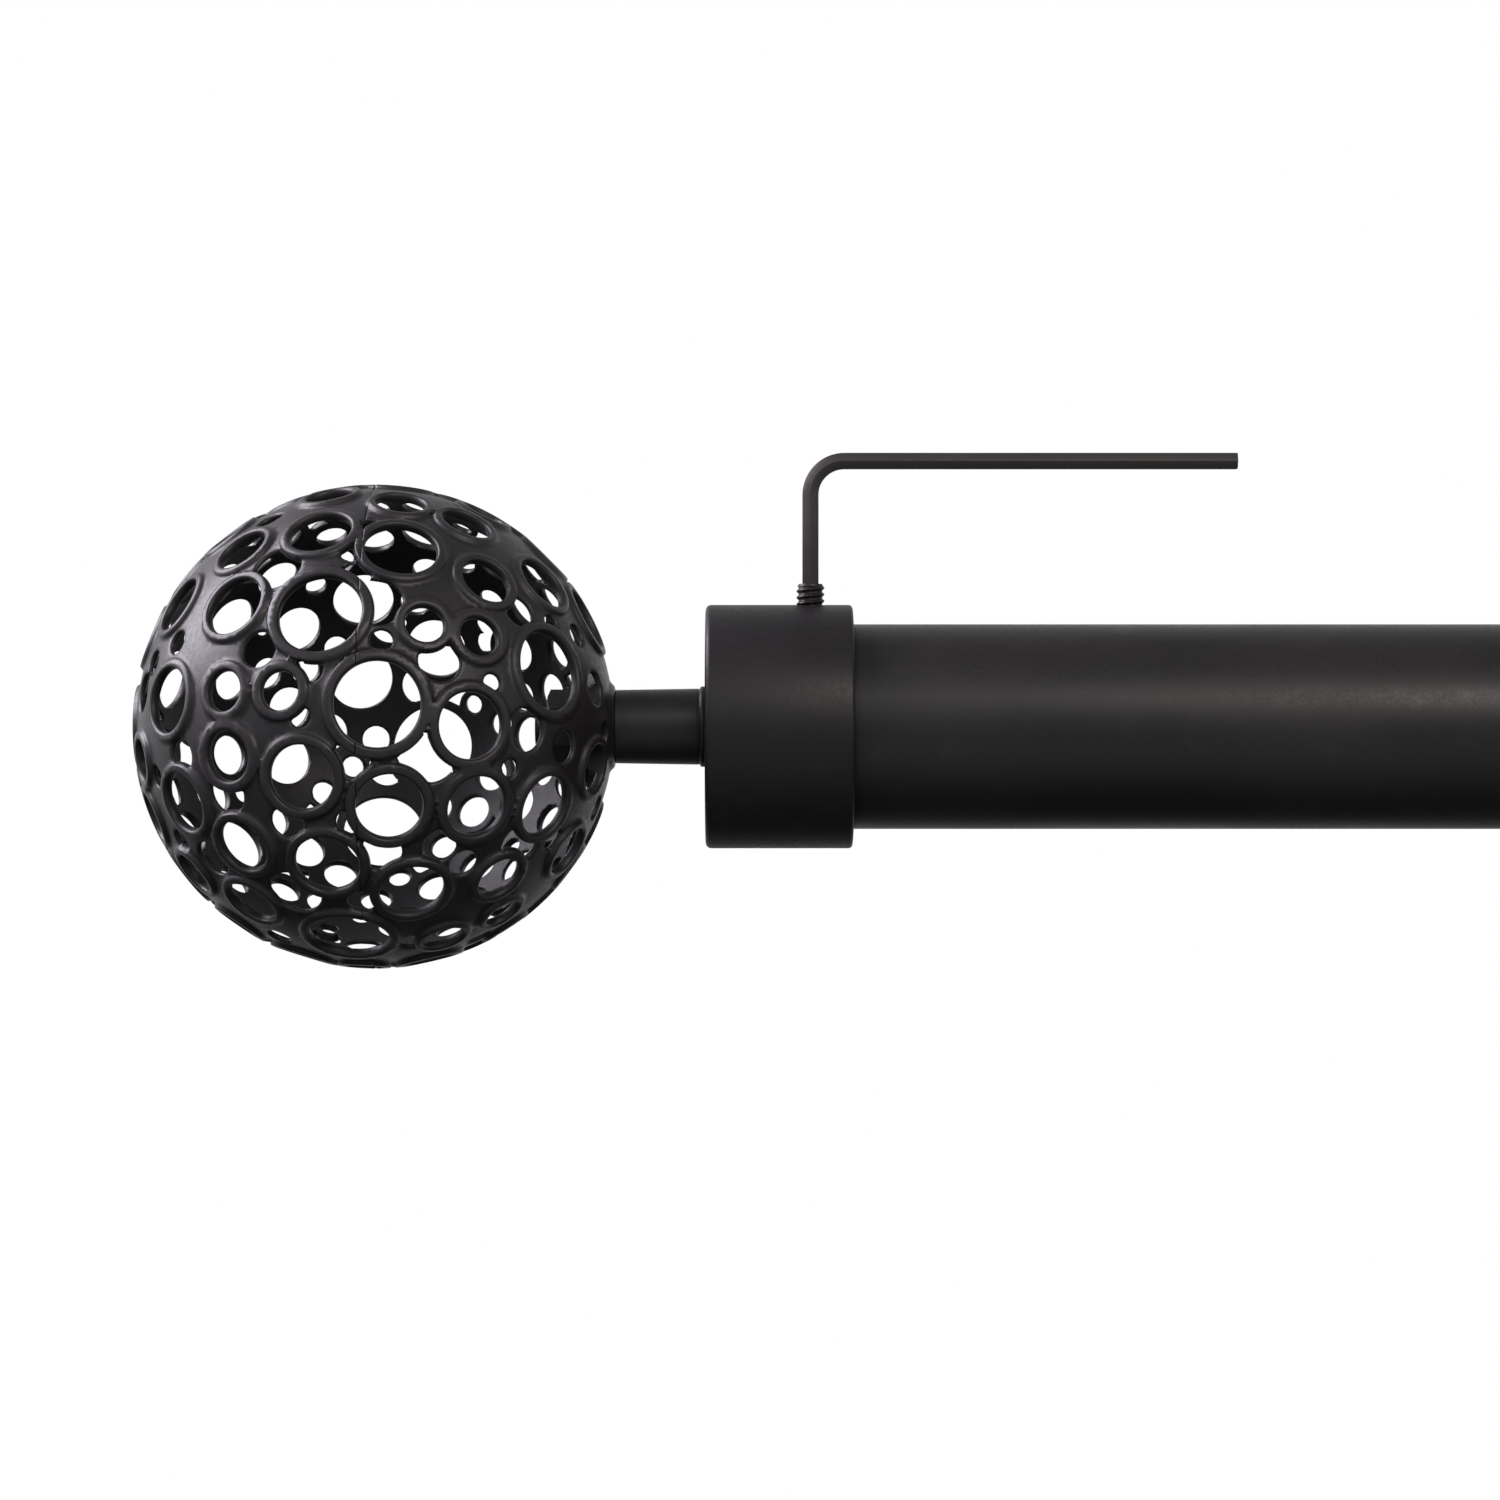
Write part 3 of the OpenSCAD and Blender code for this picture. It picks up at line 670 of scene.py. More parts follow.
GAPS = [
    (-27, 40, 3.2), (5, 30, 3.2), (-1, 38, 1.9), (-3, 45, 1.5), (20, 15, 2.6), (-25, 18, 2.3),
    (-13, 2, 1.3), (6, 20, 1.4), (-1, -8, 2.5), (17, -6, 3.9), (42, -1, 2.7), (46, 28, 2.1),
    (-34, -16, 2.5), (-48, -7, 2.0), (-18, -23, 2.1), (-2, -23, 1.6), (6, -31, 2.6),
    (22, -29, 2.2), (-48, -33, 2.4), (-22, -43, 3.3), (0, -46, 1.8), (30, -34, 1.8),
    (47, -29, 2.9), (24, -63, 1.6), (55, -5, 2.0), (-55, 20, 1.5), (-72, 8, 2.5), (71, 9, 2.1),
    (-67, 15, 1.7), (70, -62, 1.7), (-54, 59, 1.7), (-50, -61, 1.7), (82, -20, 1.7),
    (68, 22, 1.5), (76, -2, 1.5), (-11, 13, 1.6), (2, 55, 1.4), (12, 55, 1.0), (33, 10, 1.1),
    (-26, -5, 0.9), (38, -10, 1.1), (20, -31, 1.2), (-60, -28, 1.4), (60, -28, 1.4),
    (57, 25, 1.1), (-62, -12, 1.3), (33, 62, 1.3),
]
FAR_HOLES = [
    (189, 13, 4.2), (170, -5, 5.4), (183, -28, 5.2), (208, 26, 3.2), (189, 35, 4.0),
    (231, 27, 3.8), (230, -31, 3.6), (226, -7, 2.6), (209, -8, 3.4), (157, -22, 2.2),
    (133, 9, 2.4), (168, 21, 4.0), (206, 57, 2.0), (207, -33, 2.6), (250, 12, 3.8),
    (197, -41, 2.2), (220, 41, 2.8), (163, -45, 2.4), (142, -2, 2.4), (226, 12, 2.6),
    (208, 5, 2.8), (220, -46, 2.0), (185, -3, 1.8), (186, 56, 2.6), (147, 34, 1.8),
    (166, 44, 2.2), (144, 20, 2.8), (199, -17, 1.6), (191, -10, 1.4), (177, -42, 1.4),
    (137, 60, 1.4), (211, -62, 1.2), (113, -8, 2.2), (143, -20, 2.6), (119, 33, 2.2),
    (205, 39, 1.4), (127, 19, 2.0), (128, -6, 1.6), (153, -12, 2.2), (159, 6, 1.2),
    (142, -62, 2.0), (192, -57, 1.2), (223, -17, 1.2), (164, -32, 1.8), (151, 1, 1.6),
    (250, -36, 1.2), (185, -50, 2.0), (129, -24, 2.0), (241, -42, 2.2), (140, -32, 1.2),
    (100, -47, 3.3), (248, 69, 3.7), (123, 84, 3.6), (260, -20, 2.7), (246, -61, 2.9),
    (102, -27, 3.7), (128, -47, 2.4), (266, 39, 3.6), (156, -78, 3.6), (110, -63, 3.1),
    (112, 52, 2.9), (136, 46, 2.8), (252, -6, 2.8), (104, 29, 3.1), (110, 68, 3.2),
    (119, 5, 3.2), (198, 71, 3.9), (170, -60, 3.6), (160, 58, 3.3), (246, 38, 3.7),
    (231, 55, 2.7), (237, 2, 2.6), (257, -49, 3.3), (234, -74, 2.5), (123, -35, 2.5),
    (133, 32, 3.2), (117, -20, 3.1), (110, 16, 3.1), (146, -51, 3.1), (234, -17, 3.0),
    (261, 55, 2.9), (262, 22, 2.8), (89, -36, 2.4), (205, -51, 2.7), (160, 34, 2.7),
    (147, 71, 2.7), (249, -27, 2.7), (197, -1, 2.4), (216, -24, 2.6), (275, 81, 2.6),
    (271, -15, 2.5), (225, -56, 2.5), (150, -38, 2.4), (154, 13, 2.4), (200, 47, 2.4),
    (220, 2, 2.3), (88, -57, 2.3), (106, 41, 2.3), (246, 25, 2.2), (215, 14, 2.1),
    (271, -26, 2.1), (237, 15, 2.0), (168, -21, 2.0), (136, -11, 2.0), (152, 47, 2.0),
    (144, 8, 1.9), (204, 15, 1.9), (94, 56, 1.9), (173, 34, 1.9), (110, -38, 1.8),
    (259, -33, 1.8),
]
FAR_GAPS = [
    (173, 11, 2.6), (200, -24, 2.6), (105, -15, 2.6), (121, -54, 2.6), (98, 19, 2.6),
    (152, -28, 2.6), (263, 11, 2.6), (125, -13, 2.6), (241, -8, 2.6), (224, -84, 2.6),
    (121, 24, 2.6), (233, 44, 2.6), (214, -39, 2.6), (221, -66, 2.6), (261, -10, 2.6),
    (131, 1, 2.6), (220, 64, 2.6), (218, 29, 2.6), (258, 2, 2.6), (133, 54, 2.6),
    (182, -10, 2.6), (164, 10, 2.6), (114, -46, 2.6), (132, -38, 2.6), (147, -8, 2.6),
    (217, -13, 2.6), (152, 22, 1.8), (149, 28, 2.6), (253, -16, 2.6), (117, -72, 2.6),
    (221, 81, 2.6), (110, 3, 2.6), (229, -42, 2.4), (93, 35, 2.6), (196, 21, 1.6),
    (174, 65, 2.6), (262, -64, 2.6), (195, -74, 2.6), (116, 42, 2.2), (246, 56, 2.6),
    (122, 13, 2.6), (181, 27, 2.4), (121, -6, 2.4), (96, -17, 2.6), (169, -37, 1.8),
]
POLE_RING = (-1, 0, 0, 4.2, 1.3)
WIDE_BAND = 1.2
NARROW_BAND = 0.8
SMALL_HOLE = 1.7
DRAWN_R = 30.0


def direction_of(turn_deg, lift_deg):
    """The unit vector from the ball's middle. Turn 0 is straight in front, 90 is the neck."""
    around, up = math.radians(turn_deg), math.radians(lift_deg)
    return math.sin(around) * math.cos(up), -math.cos(around) * math.cos(up), math.sin(up)


def table(rows):
    """The rows with their two angles replaced by a direction."""
    return [(*direction_of(row[0], row[1]), *row[2:]) for row in rows]


FAR_RINGS = [(around, up, hole, WIDE_BAND if hole > SMALL_HOLE else NARROW_BAND)
             for around, up, hole in FAR_HOLES]
RING_TABLE = np.array(table(RINGS) + table(FAR_RINGS) + [POLE_RING])
GAP_TABLE = np.array(table(GAPS + FAR_GAPS))
print(len(RING_TABLE), "rings and", len(GAP_TABLE), "openings between them")

# %% [markdown]
# Everything about the net follows from distances along the ball's surface: how far a point
# is inside a ring's hole, how far inside its band, how far inside an opening. `to_edge` is
# the distance to the nearest free edge, and it is positive where there is metal.

# %% Distances on the ball
CORNER = 0.35


def arc_to(points, places):
    """Distance along the surface from every point to every place of a table."""
    return np.arccos(np.clip(points @ places[:, :3].T, -1, 1)) * DRAWN_R


def from_pole(points):
    """Distance from the neck's end of the axis."""
    return np.arccos(np.clip(points[:, 0], -1, 1)) * DRAWN_R


def smaller(first, second, blend):
    """The smaller of two distances, with the corner between them rounded."""
    share = np.clip(0.5 + 0.5 * (second - first) / blend, 0, 1)
    return second * (1 - share) + first * share - blend * share * (1 - share)


def in_band(points):
    """How far a point is inside a ring's outer edge. It is negative on the web."""
    return (RING_TABLE[:, 3] + RING_TABLE[:, 4] - arc_to(points, RING_TABLE)).max(1)


def to_edge(points):
    """Distance to the nearest free edge, positive where there is metal."""
    holes = (arc_to(points, RING_TABLE) - RING_TABLE[:, 3]).min(1)
    in_gap = (GAP_TABLE[:, 3] - arc_to(points, GAP_TABLE)).max(1)
    gaps = smaller(in_gap, -in_band(points), CORNER)
    stud_hole = from_pole(points) - STUD_HOLE_R / MM
    return np.minimum(np.minimum(holes, -gaps), stud_hole)


front_point = np.array([direction_of(0, 0)])
front_edge = float(to_edge(front_point)[0])
print("from straight in front to the nearest edge:", round(front_edge, 2), "mm")

# %% [markdown]
# `cut` slices every triangle along the line where such a distance has a given value. Points
# that lie very near the line are first moved onto it, so no slivers are left, and the new
# points are moved onto the exact line by false position. A locked point is on an earlier
# line and stays there.

# %% Cutting along a line
ON_LINE = 1e-6


def unit(points):
    """The points moved onto the unit sphere."""
    return points / np.linalg.norm(points, axis=1)[:, None]


def crossing_edges(tris, value):
    """The edges whose two ends lie on different sides of the line."""
    edges = np.concatenate([tris[:, [0, 1]], tris[:, [1, 2]], tris[:, [2, 0]]])
    edges.sort(axis=1)
    edges = np.unique(edges, axis=0)
    return edges[value[edges[:, 0]] * value[edges[:, 1]] < 0]


def pull_near(points, locked, edges, t, reach=0.3):
    """Moves free points within reach of the line onto it."""
    on_line = points[edges[:, 0]] * (1 - t[:, None]) + points[edges[:, 1]] * t[:, None]
    moved = np.zeros(len(points), bool)
    target = points.copy()
    for index, part in ((edges[:, 0], t), (edges[:, 1], 1 - t)):
        use = (part < reach) & ~locked[index]
        order = np.argsort(-part[use])
        index = index[use][order]
        moved[index] = True
        target[index] = on_line[use][order]
    return unit(target), moved


def line_points(points, edges, value, field, level):
    """Where the line crosses each edge, by two steps of false position."""
    a, b = points[edges[:, 0]], points[edges[:, 1]]
    fa, fb = value[edges[:, 0]], value[edges[:, 1]]
    t = fa / (fa - fb)
    for _ in range(2):
        fm = field(unit(a * (1 - t[:, None]) + b * t[:, None])) - level
        same = fm * fa > 0
        ta, tb = np.where(same, t, 0), np.where(same, 1, t)
        ga, gb = np.where(same, fm, fa), np.where(same, fb, fm)
        far = np.abs(ga - gb) > 1e-12
        t = np.where(far, ta + (tb - ta) * ga / np.where(far, ga - gb, 1), t)
    return unit(a * (1 - t[:, None]) + b * t[:, None])


def cut(net, field, level):
    """Slices the triangles of a net along the line where field has the value level."""
    points, tris, locked = net
    value = field(points) - level
    edges = crossing_edges(tris, value)
    t = value[edges[:, 0]] / (value[edges[:, 0]] - value[edges[:, 1]])
    points, moved = pull_near(points, locked, edges, t)
    value = field(points) - level
    value[moved | (np.abs(value) < ON_LINE)] = 0
    locked = locked | (value == 0)
    edges = crossing_edges(tris, value)
    fresh = line_points(points, edges, value, field, level)
    count = len(points)
    keys = edges[:, 0].astype(np.int64) * count + edges[:, 1]
    order = np.argsort(keys)

    def on_edge(p, q):
        key = np.minimum(p, q).astype(np.int64) * count + np.maximum(p, q)
        return count + order[np.searchsorted(keys[order], key)]

    side = np.sign(value[tris]).astype(int)
    crossed = [side[:, k] * side[:, (k + 1) % 3] < 0 for k in range(3)]
    number = crossed[0].astype(int) + crossed[1] + crossed[2]
    parts = [tris[number == 0]]
    for k in range(3):
        once = (number == 1) & crossed[k]
        a, b, c = (tris[once, (k + j) % 3] for j in range(3))
        x = on_edge(a, b)
        parts += [np.stack([a, x, c], 1), np.stack([x, b, c], 1)]
        twice = (number == 2) & crossed[k] & crossed[(k + 2) % 3]
        a, b, c = (tris[twice, (k + j) % 3] for j in range(3))
        x, y = on_edge(a, b), on_edge(c, a)
        parts += [np.stack([a, x, y], 1), np.stack([x, b, c], 1), np.stack([x, c, y], 1)]
    locked = np.concatenate([locked, np.ones(len(fresh), bool)])
    return np.vstack([points, fresh]), np.vstack(parts), locked


def keep_where(net, field):
    """Keeps the triangles whose middle is on the positive side, and their points."""
    points, tris, locked = net
    tris = tris[field(unit(points[tris].mean(1))) > 0]
    used = np.unique(tris)
    number = np.full(len(points), -1)
    number[used] = np.arange(len(used))
    return points[used], number[tris], locked[used]


one_triangle = (np.eye(3), np.array([[0, 1, 2]]), np.zeros(3, bool))
halved = cut(one_triangle, lambda points: points[:, 0] - points[:, 1], 0)
print("one triangle, cut through a corner, gives", len(halved[1]), "triangles")

# %% [markdown]
# The sphere is cut along the free edges, along two more lines beside them for the rounding,
# along both sides of each ring's shoulder, round the pad that the neck stands on, and along
# the seam between the two halves. The seam is the middle plane, as on the casting. The
# sphere is turned a little first, so that no row of its points runs along the seam. The
# lengths here are in millimetres, measured along the surface.

# %% The net
EDGE_ROUND = 0.34
INNER_BREAK = 0.1
SHOULDER = (0.32, -0.1, 0.1)
PAD_FACE = 26.45
PAD_R = 8.5
PAD_EDGE = math.atan2(PAD_R, PAD_FACE) * DRAWN_R
PAD_LINES = (PAD_EDGE, PAD_EDGE + 0.25)
FOOT = (4.9, 5.9)
SEAM = 0.14
SPHERE_TURN = 0.31
deselect()
bpy.ops.mesh.primitive_ico_sphere_add(subdivisions=7, radius=1)
sphere = bpy.context.object
sphere.data.transform(Matrix.Rotation(SPHERE_TURN, 4, "Z"))
start = np.empty(len(sphere.data.vertices) * 3)
sphere.data.vertices.foreach_get("co", start)
faces = np.empty(len(sphere.data.polygons) * 3, int)
sphere.data.polygons.foreach_get("vertices", faces)
bpy.data.objects.remove(sphere, do_unlink=True)
net = (unit(start.reshape(-1, 3)), faces.reshape(-1, 3), np.zeros(len(start) // 3, bool))
net = keep_where(cut(net, to_edge, 0), to_edge)
for line in (EDGE_ROUND, INNER_BREAK):
    net = cut(net, to_edge, line)
for line in SHOULDER:
    net = cut(net, in_band, line)
for line in (*PAD_LINES, *FOOT):
    net = cut(net, from_pole, line)
for line in (0, SEAM, -SEAM):
    net = cut(net, lambda points: points[:, 0] * DRAWN_R, line)
print("net:", len(net[0]), "points and", len(net[1]), "triangles")

# %% [markdown]
# Now the flat net gets its relief. The web lies half a millimetre below the rings. Free
# edges are rounded outside and just broken inside. The seam is a fine groove, because the
# two castings meet there with broken edges. A flat foot and a thick pad carry the neck.
# The heights are stored as a `crest` attribute, and the paint reads it: it lightens the tops
# of the rings a little as a painted highlight, and makes them a little smoother.

# %% Relief, and the two halves
WEB_R = 29.5
RING_RISE = 0.5
RING_TOP = 0.36
INSIDE_R = 28.85
INSIDE_ROUND = 0.2
FLAT = 29.65
SEAM_DEPTH = 0.12


def step(value, low, high):
    """A smooth step from 0 at low to 1 at high."""
    part = np.clip((value - low) / (high - low), 0, 1)
    return part * part * (3 - 2 * part)


def round_off(distance, r):
    """How far an edge rounded with radius r falls away at a distance from the edge."""
    gap = np.clip(r - distance, 0, r)
    return r - np.sqrt(r * r - gap * gap)


points, tris, _ = net
edge_gap = np.maximum(to_edge(points), 0)
pole_gap = from_pole(points)
crest = np.maximum(
    step(in_band(points), SHOULDER[1], RING_TOP), step(-pole_gap, -FOOT[1], -FOOT[0]))
outside = WEB_R + RING_RISE * crest - round_off(edge_gap, EDGE_ROUND)
outside -= SEAM_DEPTH * (1 - step(np.abs(points[:, 0]) * DRAWN_R, 0, SEAM))
on_flat = points[:, 0] * outside > FLAT
outside[on_flat] = FLAT / points[on_flat, 0]
inside = INSIDE_R + round_off(edge_gap, INSIDE_ROUND)
in_pad = pole_gap <= PAD_EDGE + 0.001
inside[in_pad] = PAD_FACE / points[in_pad, 0]
crest = crest * step(edge_gap, 0.02, EDGE_ROUND)


def half_ball(name, side):
    """Builds the closed mesh of one half: outside, inside and the walls between them."""
    own = tris[side * points[tris].mean(1)[:, 0] > 0]
    used = np.unique(own)
    number = np.full(len(points), -1)
    number[used] = np.arange(len(used))
    own = number[own]
    count = len(used)
    edges = np.concatenate([own[:, [0, 1]], own[:, [1, 2]], own[:, [2, 0]]])
    keys = np.minimum(edges[:, 0], edges[:, 1]).astype(np.int64) * count + edges.max(1)
    _, first, times = np.unique(keys, return_index=True, return_counts=True)
    rim = edges[first[times == 1]]
    walls = np.concatenate([
        np.stack([rim[:, 1], rim[:, 0], rim[:, 0] + count], 1),
        np.stack([rim[:, 1], rim[:, 0] + count, rim[:, 1] + count], 1)])
    shell = np.concatenate([own, own[:, ::-1] + count, walls])
    where = np.concatenate([
        points[used] * outside[used][:, None], points[used] * inside[used][:, None]])
    mesh = bpy.data.meshes.new(name)
    mesh.from_pydata((where * MM + np.array(BALL)).tolist(), [], shell.tolist())
    height = mesh.attributes.new("crest", "FLOAT", "POINT")
    height.data.foreach_set("value", np.concatenate([crest[used], np.zeros(count)]))
    mesh.update()
    piece = bpy.data.objects.new(name, mesh)
    bpy.context.collection.objects.link(piece)
    shade(piece, 52)
    return piece


for side, half in ((-1, "outer_half"), (1, "neck_half")):
    left = half_ball("left_" + half, side)
    right = to_right(left)
    hand_over(left, "left_" + half + "_cast", "left_finial", "left_ball_" + half,
              "finial_black")
    hand_over(right, "right_" + half + "_cast", "right_finial", "right_ball_" + half,
              "finial_black")

# %% [markdown]
# ## Threads
# A threaded bar is first turned plain, in fine rows, and the thread is then cut by moving its
# points in and out along a helix. The groove fades out at both ends, as a rolled thread does.

# %% Threaded bars
PITCH = 0.8 * MM
THREAD_DEPTH = 0.27 * MM
FINE_PITCH = 0.7 * MM
FINE_DEPTH = 0.24 * MM
STUD_DEPTH = 0.3 * MM


def threaded(name, axis, base, length, r, pitch, depth, segments=56, rows_per_turn=8):
    """A bar from base along +axis. base is a point, the rest are lengths in metres."""
    along, outward = AXES[axis]
    rows = max(int(round(length / pitch * rows_per_turn)), 4)
    ease = min(0.3 * MM, length / 8)
    outline = [(0, 0, 0), (0, r - ease, 0)]
    outline += [(ease + (length - 2 * ease) * k / rows, r, 0) for k in range(rows + 1)]
    outline += [(length, r - ease, 0), (length, 0, 0)]
    bar = lathe(name, outline, axis, base, segments)
    base = Vector(base)
    side = along.cross(outward)
    for vertex in bar.data.vertices:
        arm = vertex.co - base
        height = arm.dot(along)
        arm -= along * height
        if arm.length < r - ease - SAME_PLACE:
            continue
        turns = math.atan2(arm.dot(side), arm.dot(outward)) / (2 * math.pi)
        phase = (height / pitch - turns) % 1
        groove = 0.5 + 0.5 * math.cos(2 * math.pi * phase)
        fade = min(1, height / (0.5 * pitch), (length - height) / (0.5 * pitch))
        sunk = depth * min(1, groove * 1.25) * max(fade, 0)
        vertex.co -= arm.normalized() * sunk
    bar.data.update()
    return bar


print("threads of", PITCH / MM, "mm and", FINE_PITCH / MM, "mm a turn")

# %% [markdown]
# The key, its sockets and the nuts are hexagons. A prism is an outline that is filled and
# pushed straight, so one helper draws it and another fills and extrudes it. A headless
# screw is then a threaded bar with a hexagonal prism cut out of its end.

# %% Hexagons, prisms and headless screws
def hexagon(across, corner):
    """A hexagon's outline with rounded corners, a corner pointing along its second axis."""
    reach = across / 2 / math.cos(math.radians(30))
    angles = [math.radians(30 + 60 * k) for k in range(6)]
    return rounded([(reach * math.cos(a), reach * math.sin(a), corner) for a in angles], 3)


def prism(name, outline, place, push):
    """Fills an outline and extrudes it by the vector push."""
    piece = outline_loop(name, outline, place)
    edit(piece)
    bpy.ops.mesh.edge_face_add()
    bpy.ops.mesh.extrude_region_move(TRANSFORM_OT_translate={"value": push})
    done()
    clean(piece)
    return piece


SOCKET_AF = 2.1 * MM
SOCKET_DEPTH = 2.4 * MM


def grub_screw(name, node, up=1, pitch=PITCH, depth=THREAD_DEPTH):
    """A headless screw filling its node's box, with its socket at the top or the bottom."""
    low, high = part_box(node)
    r = (high.x - low.x) / 2
    base = Vector(((low.x + high.x) / 2, (low.y + high.y) / 2, low.z))
    screw = threaded(name, "Z", base, high.z - low.z, r, pitch, depth)
    mouth = high.z if up > 0 else low.z
    inner_end = mouth - up * SOCKET_DEPTH
    tool = prism("key_hole", hexagon(SOCKET_AF, 0.05 * MM),
                 lambda p: Vector((base.x + p[0], base.y + p[1], inner_end)),
                 (0, 0, up * (SOCKET_DEPTH + PAST)))
    carve(screw, tool)
    shade(screw, 38)
    return screw


for node in ("left_set_screw", "right_set_screw"):
    hand_over(grub_screw(node, node), node + "_cut", node, node, "screw_black_oxide")
for node in ("left_arm_screw", "right_arm_screw"):
    hand_over(grub_screw(node, node, -1, FINE_PITCH, FINE_DEPTH), node + "_cut", node, node,
              "screw_black_oxide")

# %% [markdown]
# ## The hexagon key
# The key is a length of hexagon wire, cut square, bent cold round a small radius and
# blackened. Its section is drawn at the foot, pushed up, spun a quarter turn about the
# bend's centre and pushed out again. The spin turns about -Y, so that the free end of the
# wire swings over to the right.

# %% Hexagon key
key_low, key_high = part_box("hex_key")
KEY_AF = 2 * MM
KEY_BEND = 4.2 * MM
arm_z = key_high.z - KEY_AF / 2
key_x = key_low.x + KEY_AF / 2
key_y = ROD_AXIS.y
key = prism("key", hexagon(KEY_AF, 0.14 * MM),
            lambda p: Vector((key_x + p[0], key_y + p[1], key_low.z)),
            (0, 0, arm_z - KEY_BEND - key_low.z))


def select_end(piece, axis, place):
    """Selects the faces that lie wholly at one place along an axis."""
    edit(piece, "DESELECT")
    bpy.ops.mesh.select_mode(type="FACE")
    form = bmesh.from_edit_mesh(piece.data)
    form.faces.ensure_lookup_table()
    for face in form.faces:
        face.select_set(all(abs(v.co[axis] - place) < SAME_PLACE for v in face.verts))
    bmesh.update_edit_mesh(piece.data)


select_end(key, 2, arm_z - KEY_BEND)
bpy.ops.mesh.spin(steps=20, angle=math.pi / 2, axis=(0, -1, 0),
                  center=(key_x + KEY_BEND, key_y, arm_z - KEY_BEND))
bpy.ops.mesh.extrude_region_move(
    TRANSFORM_OT_translate={"value": (key_high.x - key_x - KEY_BEND, 0, 0)})
done()
clean(key)
apply(key, "BEVEL", width=0.12 * MM, segments=2, limit_method="ANGLE",
      angle_limit=math.radians(60))
shade(key, 25)
hand_over(key, "hex_key_bent", "hex_key", "hex_key", "key_steel")

# %% [markdown]
# ## Inside the ball
# A stud runs through the cap's end and the neck. Inside the ball a washer and a nut pull the
# ball on to the neck. They can be seen through the openings, so they have their real shape:
# a rolled thread, a washer with one rounded edge, and a nut with turned-off corners.

# %% Stud, washer and nut
low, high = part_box("left_finial_stud")
stud = threaded("stud", "X", (low.x, ROD_AXIS.y, ROD_AXIS.z), high.x - low.x,
                radius("left_finial_stud"), PITCH, STUD_DEPTH, 40, 6)
shade(stud, 38)
stud_right = to_right(stud)
hand_over(stud, "left_stud_threaded", "left_finial", "left_finial_stud", "fixing_black")
hand_over(stud_right, "right_stud_threaded", "right_finial", "right_finial_stud",
          "fixing_black")

x0, x1 = span("left_washer", 0)
washer = lathe("washer", ring_section(x0, x1, STUD_HOLE_R, radius("left_washer"), 0.2 * MM), "X",
               ON_AXIS, 96)
shade(washer)
washer_right = to_right(washer)
hand_over(washer, "left_washer_flat", "left_finial", "left_washer", "fixing_black")
hand_over(washer_right, "right_washer_flat", "right_finial", "right_washer", "fixing_black")

x0, x1 = span("left_nut", 0)
NUT_AF = 8 * MM
NUT_FACE_R = NUT_AF * 0.475
NUT_CORNER_R = NUT_AF * 0.58
NUT_CHAMFER = 0.4 * MM
NUT_BORE_R = 2.53 * MM
NUT_MOUTH_R = 3.2 * MM
nut = prism("nut", hexagon(NUT_AF, 0.03 * MM),
            lambda p: Vector((x0, ROD_AXIS.y + p[0], ROD_AXIS.z + p[1])), (x1 - x0, 0, 0))
turned = lathe("turned", [
    (x0, 0, 0), (x0, NUT_FACE_R, 0), (x0 + NUT_CHAMFER, NUT_CORNER_R, 0),
    (x1 - NUT_CHAMFER, NUT_CORNER_R, 0), (x1, NUT_FACE_R, 0), (x1, 0, 0)], "X", ON_AXIS, 64)
carve(nut, turned, "INTERSECT")
bore = lathe("bore", [
    (x0 - PAST, 0, 0), (x0 - PAST, NUT_MOUTH_R, 0), (x0 + 0.35 * MM, NUT_BORE_R, 0),
    (x1 + PAST, NUT_BORE_R, 0), (x1 + PAST, 0, 0)], "X", ON_AXIS, 48)
carve(nut, bore)
shade(nut, 30)
nut_right = to_right(nut)
hand_over(nut, "left_nut_hex", "left_finial", "left_nut", "fixing_black")
hand_over(nut_right, "right_nut_hex", "right_finial", "right_nut", "fixing_black")

# %% [markdown]
# The guide plug is pressed into the inner tube's hidden end. It is one plain moulding.

# %% Guide plug
x0, x1 = span("inner_tube_plug", 0)
inner_start = span("inner_tube", 0)[0]
PLUG_R = radius("inner_tube_plug")
PLUG_STEM_R = INNER_R - INNER_WALL - SNUG
plug = lathe("plug", [
    (x0, 0, 0), (x0, PLUG_R, 0.3 * MM), (inner_start, PLUG_R, 0.1 * MM),
    (inner_start, PLUG_STEM_R, 0), (x1, PLUG_STEM_R, 0.5 * MM), (x1, 0, 0)],
    "X", ON_AXIS, 96)
shade(plug)
hand_over(plug, "inner_tube_plug_moulded", "inner_rod", "inner_tube_plug", "black_plastic")

# %% [markdown]
# ## Brackets
# Each bracket has a cast plate on the wall, a socket, an arm that slides in the socket, and an
# open cradle welded to the arm. The left one is made and the right one is its copy.
# The plate is a rounded rectangle with soft front edges and two countersunk holes.

# %% Wall plate
BRACKET_STEP = Vector((middle("right_wall_plate").x - middle("left_wall_plate").x, 0, 0))


def bracket_pair(piece, part, finish, left_body, right_body):
    """Hands over the left piece and its copy on the right bracket."""
    right = copy_of(piece, None, BRACKET_STEP)
    hand_over(piece, "left_" + part + "_made", left_body, "left_" + part, finish)
    hand_over(right, "right_" + part + "_made", right_body, "right_" + part, finish)


